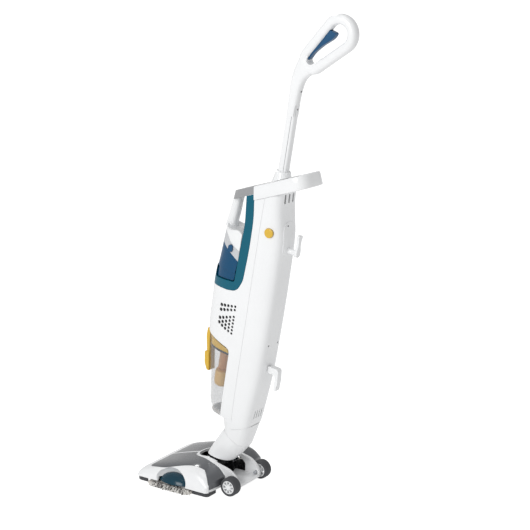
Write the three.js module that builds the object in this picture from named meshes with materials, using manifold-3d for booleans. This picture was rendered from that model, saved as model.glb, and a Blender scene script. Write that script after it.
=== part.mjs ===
// Upright floor cleaner that vacuums and steam mops: floor head, neck, body, tank, dust cup and handle.
// Millimetres, +Z up, front of the machine towards -Y, +X is the left hand of a person pushing it.
// The origin is on the floor, in the middle of the mop pad's underside.

import * as THREE from 'three';
import { mergeVertices } from 'three/addons/utils/BufferGeometryUtils.js';
import Module from 'manifold-3d';

const wasm = await Module();
wasm.setup();

// ---------------------------------------------------------------- driving dimensions

const GAP = 0.4;
const WALL = 2.6;
const AXLE_BEHIND_PAD = 152;

// floor head
const HEAD_HALF_WIDTH = 125;
const HEAD_FRONT = -266;
const HEAD_REAR = -28;
const COVER_BASE = 14;
const PAD_THICKNESS = 8;
const PLATE_THICKNESS = 4;
const SHELL_THICKNESS = 2.2;
const TRIM_THICKNESS = 1;
const SCOOP_MIDDLE = -146;
const TROUGH_HALF_WIDTH = 44;

// wheels
const WHEEL_RADIUS = 24;
const WHEEL_WIDTH = 26;
const WHEEL_X = 69;
const RIM_RADIUS = 17.5;
const AXLE_RADIUS = 4;

// neck and lean
const LEAN = THREE.MathUtils.degToRad(10);
const HINGE_Y = -88;
const HINGE_Z = 48;
const BARREL_RADIUS = 15;
const BARREL_HALF = 34;
const SWIVEL_TILT = THREE.MathUtils.degToRad(24.7);
const SWIVEL_CENTRE = new THREE.Vector3(0, 49, 96);

// body, in its own leaning frame: x sideways, y front to back, z along the body
const SEAM = 49;
const FRAME_BOTTOM = 482;
const TOP_SLOPE = 0.49;
const TOP_AT_ZERO = 713;
const TUBE_Y = 60.5;
const TUBE_TOP = 962;
const CUP_BOTTOM = 163;
const TANK_BOTTOM = 502;

// handle loop, in the body's frame
const LOOP_LOW = { y: 93.5, z: 1075.5, r: 22 };
const LOOP_HIGH = { y: 152.8, z: 1147.3, r: 34 };
const LOOP_THICKNESS = 24;
const LOOP_WIDTH = 29;
const TRIGGER_TRAVEL = THREE.MathUtils.degToRad(4);

// ---------------------------------------------------------------- finishes

const finish = (color, roughness, metalness = 0) => new THREE.MeshStandardMaterial({ color, roughness,
  metalness });
const clear = (color, opacity) => {
  const material = finish(color, 0.08);
  material.transparent = true;
  material.opacity = opacity;
  return material;
};
const WHITE = finish(0xf0f1f2, 0.25);
const PALE_GREY = finish(0xc4c6c8, 0.35);
const MID_GREY = finish(0x96989a, 0.4);
const DARK_GREY = finish(0x3a3b3d, 0.6);
const BLACK = finish(0x151618, 0.6);
const TEAL = finish(0x1c6b87, 0.3);
const BLUE = finish(0x3d6c97, 0.3);
const YELLOW = finish(0xd9a52c, 0.35);
const TAN = finish(0xc39b6c, 0.7);
const SMOKE = clear(0x66686c, 0.6);
const TANK_BLUE = clear(0x1d5b90, 0.6);
const CUP_CLEAR = clear(0x9aa0a6, 0.35);
const RUBBER = finish(0x454648, 0.9);
const STEEL = finish(0xa9acb0, 0.35, 1);
const BRASS = finish(0xb08d4c, 0.35, 1);
const CLOTH = finish(0xcfcac3, 1);

// ---------------------------------------------------------------- solids

function solid(geometry) {
  const bare = geometry.clone();
  bare.deleteAttribute('normal');
  bare.deleteAttribute('uv');
  const merged = mergeVertices(bare, 1e-3);
  return new wasm.Manifold(new wasm.Mesh({
    numProp: 3,
    vertProperties: new Float32Array(merged.attributes.position.array),
    triVerts: new Uint32Array(merged.index.array),
  }));
}

function surface(manifold) {
  const mesh = manifold.getMesh();
  const geometry = new THREE.BufferGeometry();
  geometry.setAttribute('position', new THREE.BufferAttribute(new Float32Array(mesh.vertProperties), 3));
  geometry.setIndex(new THREE.BufferAttribute(new Uint32Array(mesh.triVerts), 1));
  return geometry;
}

const join = (...parts) => parts.reduce((whole, part) => whole.add(part));
const cut = (whole, ...parts) => parts.reduce((left, part) => left.subtract(part), whole);

// A closed solid through rings of equal length, capped at both ends from each ring's middle.
function loft(rings) {
  const count = rings[0].length;
  const points = rings.flat();
  const faces = [];
  for (let row = 0; row + 1 < rings.length; row += 1) {
    for (let i = 0; i < count; i += 1) {
      const a = row * count + i;
      const b = row * count + ((i + 1) % count);
      faces.push(a, b, b + count, a, b + count, a + count);
    }
  }
  for (const [ring, flip] of [[0, true], [rings.length - 1, false]]) {
    const middle = rings[ring].reduce((sum, p) => sum.add(p), new THREE.Vector3()).divideScalar(count);
    points.push(middle);
    for (let i = 0; i < count; i += 1) {
      const a = ring * count + i;
      const b = ring * count + ((i + 1) % count);
      faces.push(points.length - 1, flip ? b : a, flip ? a : b);
    }
  }
  const geometry = new THREE.BufferGeometry().setFromPoints(points);
  geometry.setIndex(faces);
  return solid(geometry);
}

// Corners given as [a, b] or [a, b, radius], rounded by that radius.
function outline(corners) {
  const shape = new THREE.Shape();
  const at = (i) => new THREE.Vector2(...corners[(i + corners.length) % corners.length].slice(0, 2));
  corners.forEach((corner, i) => {
    const here = at(i);
    const reach = 0.49 * Math.min(at(i - 1).distanceTo(here), at(i + 1).distanceTo(here));
    const radius = Math.min(corner[2] ?? 0, reach);
    const back = at(i - 1).sub(here).setLength(radius).add(here);
    const ahead = at(i + 1).sub(here).setLength(radius).add(here);
    if (i === 0) shape.moveTo(back.x, back.y);
    else shape.lineTo(back.x, back.y);
    if (radius > 0) shape.quadraticCurveTo(here.x, here.y, ahead.x, ahead.y);
  });
  shape.closePath();
  return shape;
}

const extrude = (shape, depth, curveSegments = 3) =>
  new THREE.ExtrudeGeometry(shape, { depth, bevelEnabled: false, curveSegments });

// A flat outline in x and y, raised from one height to another.
const raised = (corners, low, high, segments) =>
  solid(extrude(outline(corners), high - low, segments).translate(0, 0, low));

const SIDEWAYS = new THREE.Matrix4().makeBasis(
  new THREE.Vector3(0, 1, 0), new THREE.Vector3(0, 0, 1), new THREE.Vector3(1, 0, 0));

// A side outline in y and z, carried sideways from one x to another.
const across = (corners, low, high, segments) =>
  solid(extrude(outline(corners), high - low, segments).applyMatrix4(SIDEWAYS).translate(low, 0, 0));

const box = (x0, x1, y0, y1, z0, z1) =>
  solid(new THREE.BoxGeometry(x1 - x0, y1 - y0, z1 - z0)
    .translate((x0 + x1) / 2, (y0 + y1) / 2, (z0 + z1) / 2));

// A round bar between two points.
function bar(from, to, radius, sides = 12, endRadius = radius) {
  const a = new THREE.Vector3(...from);
  const b = new THREE.Vector3(...to);
  const axis = b.clone().sub(a);
  const geometry = new THREE.CylinderGeometry(endRadius, radius, axis.length(), sides);
  const turn = new THREE.Quaternion().setFromUnitVectors(new THREE.Vector3(0, 1, 0), axis.normalize());
  return solid(geometry.applyQuaternion(turn).translate(...a.add(b).divideScalar(2)));
}

// A tube or rod along a smooth path.
function hose(points, radius, steps = 16, sides = 8) {
  const path = new THREE.CatmullRomCurve3(points.map((p) => new THREE.Vector3(...p)));
  const section = new THREE.Shape().absarc(0, 0, radius, 0, Math.PI * 2);
  return solid(new THREE.ExtrudeGeometry(section, { extrudePath: path, steps, curveSegments: sides / 2 }));
}

const ball = (x, y, z, rx, ry, rz, round = 16, up = 10) =>
  solid(new THREE.SphereGeometry(1, round, up).scale(rx, ry, rz).translate(x, y, z));

// Smooth curve through [place, value] rows, level beyond both ends.
function along(rows, place) {
  const last = rows.length - 1;
  if (place <= rows[0][0]) return rows[0][1];
  if (place >= rows[last][0]) return rows[last][1];
  const i = rows.findIndex((row, n) => n < last && place <= rows[n + 1][0]);
  const slope = (n) => {
    const low = Math.max(n - 1, 0);
    const high = Math.min(n + 1, last);
    return (rows[high][1] - rows[low][1]) / (rows[high][0] - rows[low][0]);
  };
  const width = rows[i + 1][0] - rows[i][0];
  const t = (place - rows[i][0]) / width;
  return (2 * t ** 3 - 3 * t ** 2 + 1) * rows[i][1] + (t ** 3 - 2 * t ** 2 + t) * width * slope(i)
    + (3 * t ** 2 - 2 * t ** 3) * rows[i + 1][1] + (t ** 3 - t ** 2) * width * slope(i + 1);
}

const mirror = (manifold) => {
  const geometry = surface(manifold).scale(-1, 1, 1);
  const index = geometry.index.array;
  for (let i = 0; i < index.length; i += 3) [index[i], index[i + 1]] = [index[i + 1], index[i]];
  return solid(geometry);
};

// ---------------------------------------------------------------- scene graph

const machine = new THREE.Group();
machine.position.y = AXLE_BEHIND_PAD;
const upright = new THREE.Group();
upright.position.set(0, HINGE_Y, HINGE_Z);
upright.rotation.x = -LEAN;
machine.add(upright);

function place(name, shape, material, parent) {
  const mesh = new THREE.Mesh(shape.isBufferGeometry ? shape : surface(shape), material);
  mesh.name = name;
  parent.add(mesh);
}

// ---------------------------------------------------------------- floor head

// Height of the head's top along its length, before its sides round off.
const HEAD_TOP = [[-266, 17], [-260, 26], [-248, 33], [-194, 50], [-146, 63], [-104, 71], [-76, 70],
  [-46, 58], [-28, 40]];

// Section of the head at one distance from its middle, inset evenly: a closed ring in y and z.
function headSection(x, inset) {
  const half = HEAD_HALF_WIDTH - inset;
  const far = Math.abs(x) / half;
  const drop = (1 - Math.sqrt(Math.max(0, 1 - far ** 9))) * 0.8;
  const pull = (1 - Math.sqrt(Math.max(0, 1 - far ** 6))) * 14;
  const front = HEAD_FRONT + inset + pull;
  const rear = HEAD_REAR - inset - pull;
  const low = COVER_BASE;
  const ring = [new THREE.Vector3(x, front, low)];
  const steps = 10;
  for (let i = 0; i <= steps; i += 1) {
    const share = i / steps;
    const y = front + (rear - front) * (share - Math.sin(share * Math.PI * 2) / 14);
    const top = Math.max(along(HEAD_TOP, y - pull * (1 - 2 * share)) - inset, low + 3 - inset / 4);
    ring.push(new THREE.Vector3(x, y, low + (top - low) * (1 - drop)));
  }
  ring.push(new THREE.Vector3(x, rear, low));
  return ring.reverse();
}

function headBlock(inset) {
  const stations = [-1, -0.985, -0.95, -0.88, -0.7, 0, 0.7, 0.88, 0.95, 0.985, 1];
  return loft(stations.map((share) => headSection(share * (HEAD_HALF_WIDTH - inset), inset)));
}

const neckOpening = (extra) => raised([
  [-36 - extra, -60 + extra, 4], [-37 - extra, -112, 20], [-20, -137 - extra, 18],
  [20, -137 - extra, 18], [37 + extra, -112, 20], [36 + extra, -60 + extra, 4]], 0, 120);

// Trough behind the neck, in which the neck lies when the machine is laid back.
const troughProfile = [[-64, 19], [60, 19], [60, 140], [-64, 140]];
const trough = across(troughProfile, -TROUGH_HALF_WIDTH, TROUGH_HALF_WIDTH);

// Raised fins either side of the trough, which run back from the block to the rear lip.
function fin(side) {
  const profile = [[-76, 16], [-76, 69, 10], [-60, 67], [-16, 57, 14], [4, 40, 10], [9, 22, 4], [8, 14]];
  return across(profile, side * 46 - 6, side * 46 + 6);
}

const scoop = (side, grow = 0) => ball(side * 139, SCOOP_MIDDLE, 26, 44 + grow, 49 + grow, 37 + grow);
const pedalSpace = (side) => box(
  side * 114 - 26, side * 114 + 26, SCOOP_MIDDLE - 44, SCOOP_MIDDLE + 44, 0, 24);

// Plan of the smoke-tinted top cover: the whole upper skin inside the white corner pods.
const smokePlan = (extra) => [
  [-101 - extra, -233 - extra, 16], [101 + extra, -233 - extra, 16], [112 + extra, -176, 20],
  [100 + extra, -96, 8], [96 + extra, -60], [116 + extra, -36], [116 + extra, -10],
  [54.5 - extra, -10], [54.5 - extra, -74, 12], [43 - extra, -114, 24], [22, -146 + extra, 22],
  [-22, -146 + extra, 22], [-43 + extra, -114, 24], [-54.5 + extra, -74, 12], [-54.5 + extra, -10],
  [-116 - extra, -10], [-116 - extra, -36], [-96 - extra, -60], [-100 - extra, -96, 8],
    [-112 - extra, -176, 20]];

const trimPlan = (extra) => [
  [-2.4 - extra, -246], [2.4 + extra, -246], [3.4 + extra, -146.6 + extra * 2],
    [-3.4 - extra, -146.6 + extra * 2]];

const headOuter = headBlock(0);
const headUnderSkin = headBlock(SHELL_THICKNESS + GAP);
const headSkinInside = headBlock(SHELL_THICKNESS);
const headInside = headBlock(SHELL_THICKNESS + GAP + WALL);
const scoops = join(scoop(1), scoop(-1));
const wheelHouse = (side) => bar([side * 54, 0, WHEEL_RADIUS], [side * 130, 0, WHEEL_RADIUS],
  WHEEL_RADIUS + 4, 20);
const wheelHouses = join(wheelHouse(1), wheelHouse(-1));

function whiteCover() {
  const recess = cut(raised(smokePlan(GAP), 0, 200), headUnderSkin);
  let cover = cut(headOuter, recess, scoops, pedalSpace(1), pedalSpace(-1));
  cover = join(cover, fin(1), fin(-1), across([[-63, 14], [-63, 19], [9, 19, 3], [13, 14, 2]], -43, 43));
  const floor = box(-46, 46, -63, -28, 13, 19);
  const cavity = cut(headInside, scoop(1, WALL), scoop(-1, WALL), floor);
  const hollow = [[-90, 10], [-90, 62, 8], [-56, 60], [-20, 50, 8], [0, 34], [0, 10]];
  const finHollows = join(across(hollow, 46.6, 49.4), across(hollow, -49.4, -46.6));
  const axleHoles = join(
    bar([36, 0, WHEEL_RADIUS], [60, 0, WHEEL_RADIUS], AXLE_RADIUS + GAP, 16),
    bar([-60, 0, WHEEL_RADIUS], [-36, 0, WHEEL_RADIUS], AXLE_RADIUS + GAP, 16));
  return cut(cover, cavity, finHollows, neckOpening(0), trough, wheelHouses, axleHoles);
}

function smokeShell() {
  const skin = cut(headOuter, headSkinInside);
  const plan = raised(smokePlan(0), COVER_BASE + 8, 200);
  const groove = cut(raised(trimPlan(GAP), 0, 200), headBlock(TRIM_THICKNESS + GAP));
  return cut(skin.intersect(plan), scoops, groove, wheelHouses);
}

function centreTrim() {
  return cut(headOuter, headBlock(TRIM_THICKNESS)).intersect(raised(trimPlan(0), COVER_BASE + 8,
    200)).subtract(
    box(-140, 140, -300, -232.6, 0, 200));
}

// White rim around the front of the neck opening.
function neckSurround() {
  const outer = raised([[-39, -88, 4], [-39, -114, 22], [-21, -141.5, 20], [21, -141.5, 20],
    [39, -114, 22], [39, -88, 4]], 54, 73, 8);
  const inner = raised([[-35, -60], [-36, -112, 20], [-19.5, -136.5, 18], [19.5, -136.5, 18],
    [36, -112, 20], [35, -60]], 0, 120, 8);
  const body = cut(outer, inner, across([[-180, 66], [-141, 66.4], [-86, 74], [-86, 120], [-180, 120]],
    -60, 60));
  return cut(body, headOuter);
}

place('white_cover', whiteCover(), WHITE, machine);
place('smoke_shell', smokeShell(), SMOKE, machine);
place('centre_trim', centreTrim(), WHITE, machine);
place('neck_surround', neckSurround(), WHITE, machine);

// Plan of the chassis plate: the block, then a tail between the wheels.
const platePlan = (inset) => [
  [-117 + inset, -256 + inset, 16], [117 - inset, -256 + inset, 16], [119 - inset, -150],
    [115.5 - inset, -41.5 - inset, 9],
  [80 - inset, -40.5 - inset],
  [51 - inset, -31 - inset], [49 - inset, 6 - inset, 5], [-49 + inset, 6 - inset, 5],
    [-51 + inset, -31 - inset],
  [-80 + inset, -40.5 - inset], [-115.5 + inset, -41.5 - inset, 9], [-119 + inset, -150]];

const PLATE_LOW = PAD_THICKNESS + PLATE_THICKNESS + 1;

function basePlate() {
  const sheet = raised(platePlan(0), PLATE_LOW, COVER_BASE - GAP);
  const ears = [];
  for (const side of [-1, 1]) {
    const low = side > 0 ? BARREL_HALF + 0.6 : -BARREL_HALF - 4.4;
    ears.push(across([[-112, PLATE_LOW], [-104, 52, 14], [-88, 66, 10], [-72, 52, 14], [-64, 22],
      [-64, PLATE_LOW]], low, low + 3.8));
  }
  const posts = [];
  for (const [x, y] of SCREW_PLACES) posts.push(bar([x, y, PLATE_LOW], [x, y, 28], 5, 12));
  let plate = join(sheet, ...ears, ...posts);
  plate = cut(plate, bar([-60, HINGE_Y, HINGE_Z], [60, HINGE_Y, HINGE_Z], 6 + GAP, 16));
  plate = cut(plate, box(-78, 78, -214, -196, 0, 30));
  for (const [x, y] of SCREW_PLACES) plate = cut(plate, bar([x, y, 0], [x, y, 24], 1.8, 10));
  return cut(plate, neckOpeningFloor(), pedalSpace(1), pedalSpace(-1));
}

const SCREW_PLACES = [[-96, -226], [96, -226], [-60, -60], [60, -60]];
const neckOpeningFloor = () => box(-26, 26, -108, -70, 0, 20);

place('base_plate', basePlate(), BLACK, machine);

// Grey rubber skirt: one piece round the front, one under each rear pod.
function skirt(corners) {
  const outer = raised([[-122, -261, 20], [122, -261, 20], [123, -150], [121, -35, 10], [-121, -35, 10],
    [-123, -150]], 3, COVER_BASE - GAP);
  const inner = raised([[-118.6, -257.6, 18], [118.6, -257.6, 18], [119.6, -150], [118.4, -38.6, 9],
    [-118.4, -38.6, 9], [-119.6, -150]], 0, 40);
  return cut(outer, inner).intersect(raised(corners, 0, 40));
}
place('skirt_front', skirt([[-140, -280], [140, -280], [140, -224], [-140, -224]]), DARK_GREY, machine);
place('skirt_left', skirt([[84, -82], [140, -82], [140, 0], [84, 0]]), DARK_GREY, machine);
place('skirt_right', skirt([[-140, -82], [-84, -82], [-84, 0], [-140, 0]]), DARK_GREY, machine);

// Pad plate with its steam holes, and the mop pad below it.
function padPlate() {
  let plate = raised([[-112, -190, 10], [112, -190, 10], [114, -100], [112, -48, 10], [-112, -48, 10],
    [-114, -100]],
    PAD_THICKNESS + GAP, PAD_THICKNESS + PLATE_THICKNESS);
  for (let x = -90; x <= 90; x += 30) plate = cut(plate, bar([x, -120, 0], [x, -120, 20], 2.5, 8));
  return plate;
}
place('pad_plate', padPlate(), PALE_GREY, machine);
place('mop_pad', raised([[-130, -222, 10], [130, -222, 10], [130, -84, 10], [-130, -84, 10]], 0,
  PAD_THICKNESS, 3)
  .subtract(box(-78, 78, -214, -196, -5, 20)), CLOTH, machine);

// Air channel from the slot behind the front edge to the neck pivot.
function suctionChannel() {
  const bottom = PLATE_LOW + 1.2;
  const section = (y, half, high) => [[-half, bottom], [half, bottom], [half, high], [-half, high]]
    .map(([x, z]) => new THREE.Vector3(x, y, z)).reverse();
  const outer = loft([section(-219, 82, 27), section(-192, 76, 27), section(-140, 30, 27),
    section(-112, 20, 27)]);
  const inner = loft([section(-216.5, 79.5, 25), section(-192, 73.5, 25), section(-140, 27.5, 25),
    section(-100, 17.5, 25)]);
  return cut(outer, inner, box(-78, 78, -214, -196, 0, 20));
}
place('suction_channel', suctionChannel(), DARK_GREY, machine);

// Teal foot pedals in the side scoops.
function pedal(side) {
  const dome = ball(side * 98, SCOOP_MIDDLE, 6, 31, 55, 32, 20, 12);
  const reach = box(side * 114.5 - 17.5, side * 114.5 + 17.5, -220, -60, COVER_BASE + 1, 80);
  const recess = join(ball(side * 139, SCOOP_MIDDLE, 26, 43.4, 48.4, 36.4),
    box(side * 114 - 25.4, side * 114 + 25.4, SCOOP_MIDDLE - 43.4, SCOOP_MIDDLE + 43.4, 0, 23.6));
  return dome.intersect(reach).intersect(recess);
}
place('pedal_left', pedal(1), TEAL, machine);
place('pedal_right', pedal(-1), TEAL, machine);

// ---------------------------------------------------------------- wheels

function ringProfile(points, sides) {
  const closed = [...points, points[0]].map(([r, x]) => new THREE.Vector2(r, x));
  return new THREE.LatheGeometry(closed, sides).rotateZ(-Math.PI / 2);
}

function tyre() {
  const half = WHEEL_WIDTH / 2;
  return ringProfile([
    [RIM_RADIUS + GAP, -half], [WHEEL_RADIUS - 4, -half], [WHEEL_RADIUS - 1, -half + 2],
      [WHEEL_RADIUS, -half + 5],
    [WHEEL_RADIUS, half - 5], [WHEEL_RADIUS - 1, half - 2], [WHEEL_RADIUS - 4, half],
      [RIM_RADIUS + GAP, half]], 28);
}

// Hub with a boss on the axle, a rim and eight windows between its spokes.
function hub(side) {
  const face = WHEEL_WIDTH / 2 - 1.5;
  const wheel = solid(ringProfile([[AXLE_RADIUS + GAP, -12], [8, -12], [8, face - 3.5],
    [RIM_RADIUS - 2, face - 3.5],
    [RIM_RADIUS - 2, -12], [RIM_RADIUS, -12], [RIM_RADIUS, face], [AXLE_RADIUS + GAP, face]], 24));
  const spokes = 8;
  const windows = [];
  for (let i = 0; i < spokes; i += 1) {
    const wedge = outline([[7.4, -1.5], [RIM_RADIUS - 3, -3.8], [RIM_RADIUS - 3, 3.8], [7.4, 1.5]]);
    const cutter = extrude(wedge, 10).rotateZ((i / spokes) * Math.PI * 2).applyMatrix4(SIDEWAYS);
    windows.push(solid(cutter.translate(face - 8, 0, 0)));
  }
  const whole = join(cut(wheel, ...windows), bar([face - 3, 0, 0], [face + 0.8, 0, 0], 7, 16));
  return side > 0 ? whole : mirror(whole);
}

for (const [side, word] of [[1, 'left'], [-1, 'right']]) {
  const x = side * WHEEL_X;
  const wheel = new THREE.Group();
  wheel.position.set(x, 0, WHEEL_RADIUS);
  machine.add(wheel);
  place(`tyre_${word}`, tyre(), RUBBER, wheel);
  place(`hub_${word}`, hub(side), WHITE, wheel);
  place(`axle_${word}`, bar([side * 37, 0, WHEEL_RADIUS], [x + side * 8, 0, WHEEL_RADIUS], AXLE_RADIUS,
    16), STEEL, machine);
  place(`pivot_pin_${word}`, bar([side * (BARREL_HALF - 8), HINGE_Y, HINGE_Z],
    [side * (BARREL_HALF + 7), HINGE_Y, HINGE_Z], 6, 16), STEEL, machine);
}

// ---------------------------------------------------------------- neck

// Oval ring in a plane that tilts back, for lofts that bend.
function oval(y, z, tilt, halfWidth, halfDepth, power = 2.5, count = 20) {
  const ring = [];
  for (let i = 0; i < count; i += 1) {
    const turn = (i / count) * Math.PI * 2;
    const c = Math.cos(turn);
    const s = Math.sin(turn);
    const x = halfWidth * Math.sign(c) * Math.abs(c) ** (2 / power);
    const d = halfDepth * Math.sign(s) * Math.abs(s) ** (2 / power);
    ring.push(new THREE.Vector3(x, y + d * Math.cos(tilt), z - d * Math.sin(tilt)));
  }
  return ring;
}

const seamOval = (shift, inset) => oval(
  SWIVEL_CENTRE.y + shift * Math.sin(SWIVEL_TILT), SWIVEL_CENTRE.z + shift * Math.cos(SWIVEL_TILT),
  SWIVEL_TILT, 37 - inset, 38 - inset);

const neckLower = cut(
  loft([oval(12, 27, -0.05, 33, 38), oval(22, 46, 0.1, 34.5, 38), oval(34, 68, 0.25, 36, 38),
    seamOval(-GAP / 2, 0)]),
  loft([oval(8, 15, -0.05, 29, 33), oval(22, 46, 0.1, 31, 34.5), oval(34, 68, 0.25, 33, 35),
    seamOval(9, 3)]));
place('neck_lower', neckLower, WHITE, upright);

// Pivot barrel with the stem that carries the neck, bored for air.
function pivotBarrel() {
  const stem = loft([oval(0, 0, 0, 26, 13), oval(4, 16, 0, 27, 20), oval(10, 26.6, -0.05, 28, 31)]);
  const barrel = bar([-BARREL_HALF, 0, 0], [BARREL_HALF, 0, 0], BARREL_RADIUS, 20);
  const air = loft([oval(0, -30, 0, 18, 9), oval(0, 0, 0, 18, 9), oval(6, 16, 0, 20, 14),
    oval(12, 34, 0, 22, 24)]);
  const pins = bar([-60, 0, 0], [-BARREL_HALF + 8.5, 0, 0], 6 + GAP,
    16).add(bar([BARREL_HALF - 8.5, 0, 0], [60, 0, 0], 6 + GAP, 16));
  return cut(join(stem, barrel), air, pins);
}
place('pivot_barrel', pivotBarrel(), BLACK, upright);

// ---------------------------------------------------------------- body envelope

const BODY_FRONT = [[150, -31], [168, -42.5], [200, -49], [260, -58], [340, -72], [372, -79], [430, -80.5],
  [500, -81],
  [560, -75], [620, -70], [660, -65], [730, -56], [780, -52]];
const BODY_BACK = [[112, 86], [150, 93], [200, 98], [250, 103], [320, 107], [480, 109], [600, 107],
  [650, 104], [690, 96],
  [730, 89], [790, 87]];
const BODY_HALF = [[112, 38], [140, 44], [190, 48], [680, 48], [730, 46.5], [790, 46]];

// Closed outline at one height: an oval nose in front, a rounded rectangle behind.
function bodyRing(z, inset, count = 26) {
  const front = along(BODY_FRONT, z) + inset;
  const back = along(BODY_BACK, z) - inset;
  const half = along(BODY_HALF, z) - inset;
  const middle = (front + back) / 2;
  const ring = [];
  for (let i = 0; i < count; i += 1) {
    const turn = ((i + 0.5) / count) * Math.PI * 2;
    const c = Math.cos(turn);
    const s = Math.sin(turn);
    const power = s < 0 ? 2.4 : 4.6;
    const x = half * Math.sign(c) * Math.abs(c) ** (2 / power);
    const y = middle + ((back - front) / 2) * Math.sign(s) * Math.abs(s) ** (2 / power);
    ring.push(new THREE.Vector3(x, y, z));
  }
  return ring;
}

function bodyEnvelope(inset) {
  const levels = [112, 160, 190, 345, 372, 500, 560, 620, 660, 695, 735, 790];
  return loft(levels.map((z) => bodyRing(z, inset)));
}

const outer = bodyEnvelope(0);
const inner = bodyEnvelope(WALL);
const topAt = (y) => TOP_AT_ZERO + TOP_SLOPE * y;

// Side outline of the white centre housing: spine, grille block and overhang above the dust cup.
const centreSide = (inset, back = SEAM - GAP) => [
  [back, 100], [14 + inset, 100], [14 + inset, 334 + inset, 13], [-110, 363.8 + inset * 1.3],
  [-110, FRAME_BOTTOM - 5 - inset], [-20, FRAME_BOTTOM - inset], [11 + inset, FRAME_BOTTOM + 6, 18],
  [24 + inset, 520, 10], [28.5 + inset, 600, 30], [28 + inset, 680, 30],
    [21 + inset, topAt(21) - GAP - inset],
  [back, topAt(back) - GAP - inset]];

// ---------------------------------------------------------------- body housings

function neckUpper(inset) {
  return loft([seamOval(GAP / 2 - inset * 3, inset), oval(50, 118, 0.26, 39 - inset, 40 - inset, 2.7),
    oval(50.5, 138, 0.12, 42 - inset, 42 - inset, 3), oval(50.5, 158, 0, 44.5 - inset, 44 - inset, 3.2)]);
}

// Where the back housing ends above the neck.
const backHousingEnd = (shift) => across(
  [[SEAM - GAP + shift, 124 - shift], [130, 157 - shift], [130, 300], [SEAM - GAP + shift, 300]], -80, 80);

// Vent slots in both flanks: rows that get shorter towards the overhang above the dust cup.
function ventSlots() {
  const rows = [[455, 5], [444, 5], [425, 5], [414, 5], [403, 4], [392, 3], [381, 2], [370, 1]];
  const slot = ([z, holes]) => across([[18, z - 3], [18, z + 3], [18 - holes * 10, z + 3],
    [18 - holes * 10, z - 3]], -80, 80);
  return join(...rows.map(slot));
}

function centreHousing() {
  let block = outer.intersect(across(centreSide(0), -60, 60));
  const hollow = inner.intersect(across(centreSide(WALL, SEAM + 10), -60, 60));
  const airMouth = across([[10, 264], [10, 292, 8], [24, 292], [24, 264]], -15, 15);
  block = cut(block, hollow, airMouth, box(-70, 70, -80, 120, 90, 150));
  const neck = cut(neckUpper(0), backHousingEnd(0), box(-70, 70, -60, 120, 150.01, 200));
  const neckHollow = join(neckUpper(WALL), box(-30, 30, SEAM - 20, SEAM + 34, 120, 170));
  const shelf = box(-44, 44, -50, 14, 150, 152.5).intersect(outer);
  return cut(join(block, neck, shelf), neckHollow, ventSlots(), box(-24, 24, 16.6, 40, 140, 170));
}
place('centre_housing', centreHousing(), WHITE, upright);

// Slots in the back: three at the top and four at the bottom.
function backSlots() {
  const slots = [];
  for (const x of [-17, 0, 17]) slots.push(box(x - 3, x + 3, 80, 130, 729, 751));
  for (const x of [-15, -5, 5, 15]) slots.push(box(x - 1.6, x + 1.6, 80, 130, 164, 186));
  return join(...slots);
}

const SIDE_BUTTON = { y: 75, z: 657, r: 11.5 };
const UPPER_HOOK_Z = 614;
const LOWER_HOOK_Z = 304;

function rearHousing() {
  const side = [[SEAM, 124.5 + GAP], [130, 157 + GAP], [130, topAt(130) - GAP], [SEAM, topAt(SEAM) - GAP]];
  const tray = outer.intersect(across(side, -60, 60));
  const hollow = inner.intersect(across([[SEAM - 10, 130], [130, 164], [130, topAt(130) - WALL],
    [SEAM - 10, topAt(SEAM - 10) - WALL]], -60, 60));
  const buttonHole = bar([30, SIDE_BUTTON.y, SIDE_BUTTON.z], [60, SIDE_BUTTON.y, SIDE_BUTTON.z],
    SIDE_BUTTON.r + GAP, 20);
  const hookHole = bar([0, 90, UPPER_HOOK_Z], [0, 120, UPPER_HOOK_Z], 7 + GAP, 20);
  const glandHole = bar([-30, 74, 186], [-60, 74, 186], 5 + GAP, 16);
  const floorOpening = box(-26, 30, SEAM - 5, SEAM + 32, 110, 170);
  const tubeHole = box(-10.5 - GAP, 10.5 + GAP, TUBE_Y - 11.5 - GAP, TUBE_Y + 11.5 + GAP, 700, 800);
  return cut(tray, hollow, backSlots(), buttonHole, hookHole, glandHole, floorOpening, tubeHole,
    bar([-20, 80, 369], [-20, 130, 369], 2.2, 10), bar([20, 80, 369], [20, 130, 369], 2.2, 10));
}
place('rear_housing', rearHousing(), WHITE, upright);
for (const [x, word] of [[20, 'left'], [-20, 'right']]) {
  place(`rear_screw_${word}`, bar([x, 86, 369], [x, 107, 369], 1.8, 8), STEEL, upright);
}

// Round button on the left flank, with a stem that keeps it in the housing.
place('side_button', join(
  bar([44.2, SIDE_BUTTON.y, SIDE_BUTTON.z], [50.2, SIDE_BUTTON.y, SIDE_BUTTON.z], SIDE_BUTTON.r, 20),
  bar([40.5, SIDE_BUTTON.y, SIDE_BUTTON.z], [44.4, SIDE_BUTTON.y, SIDE_BUTTON.z], 6, 16)), YELLOW, upright);

// Cord hooks: the upper one turns on its arm, the lower one is fixed.
function hookPaddle(low, high, y) {
  const shape = outline([[-8.5, low, 8], [8.5, low, 8], [8.5, high, 8], [-8.5, high, 8]]);
  return solid(extrude(shape, 7, 6).rotateX(Math.PI / 2).translate(0, y + 7, 0));
}
place('upper_hook', join(
  bar([0, 100, UPPER_HOOK_Z], [0, 131, UPPER_HOOK_Z], 7, 20), hookPaddle(UPPER_HOOK_Z - 9,
    UPPER_HOOK_Z + 46, 130)), WHITE, upright);
place('lower_hook', join(
  across([[107.6, LOWER_HOOK_Z - 9, 3], [107.6, LOWER_HOOK_Z + 8, 3], [138, LOWER_HOOK_Z + 8, 7],
    [141, LOWER_HOOK_Z - 20], [140, LOWER_HOOK_Z - 50, 4], [133, LOWER_HOOK_Z - 50, 4],
      [132, LOWER_HOOK_Z - 16, 8], [124, LOWER_HOOK_Z - 8, 4]],
  -8.5, 8.5)), WHITE, upright);

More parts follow.
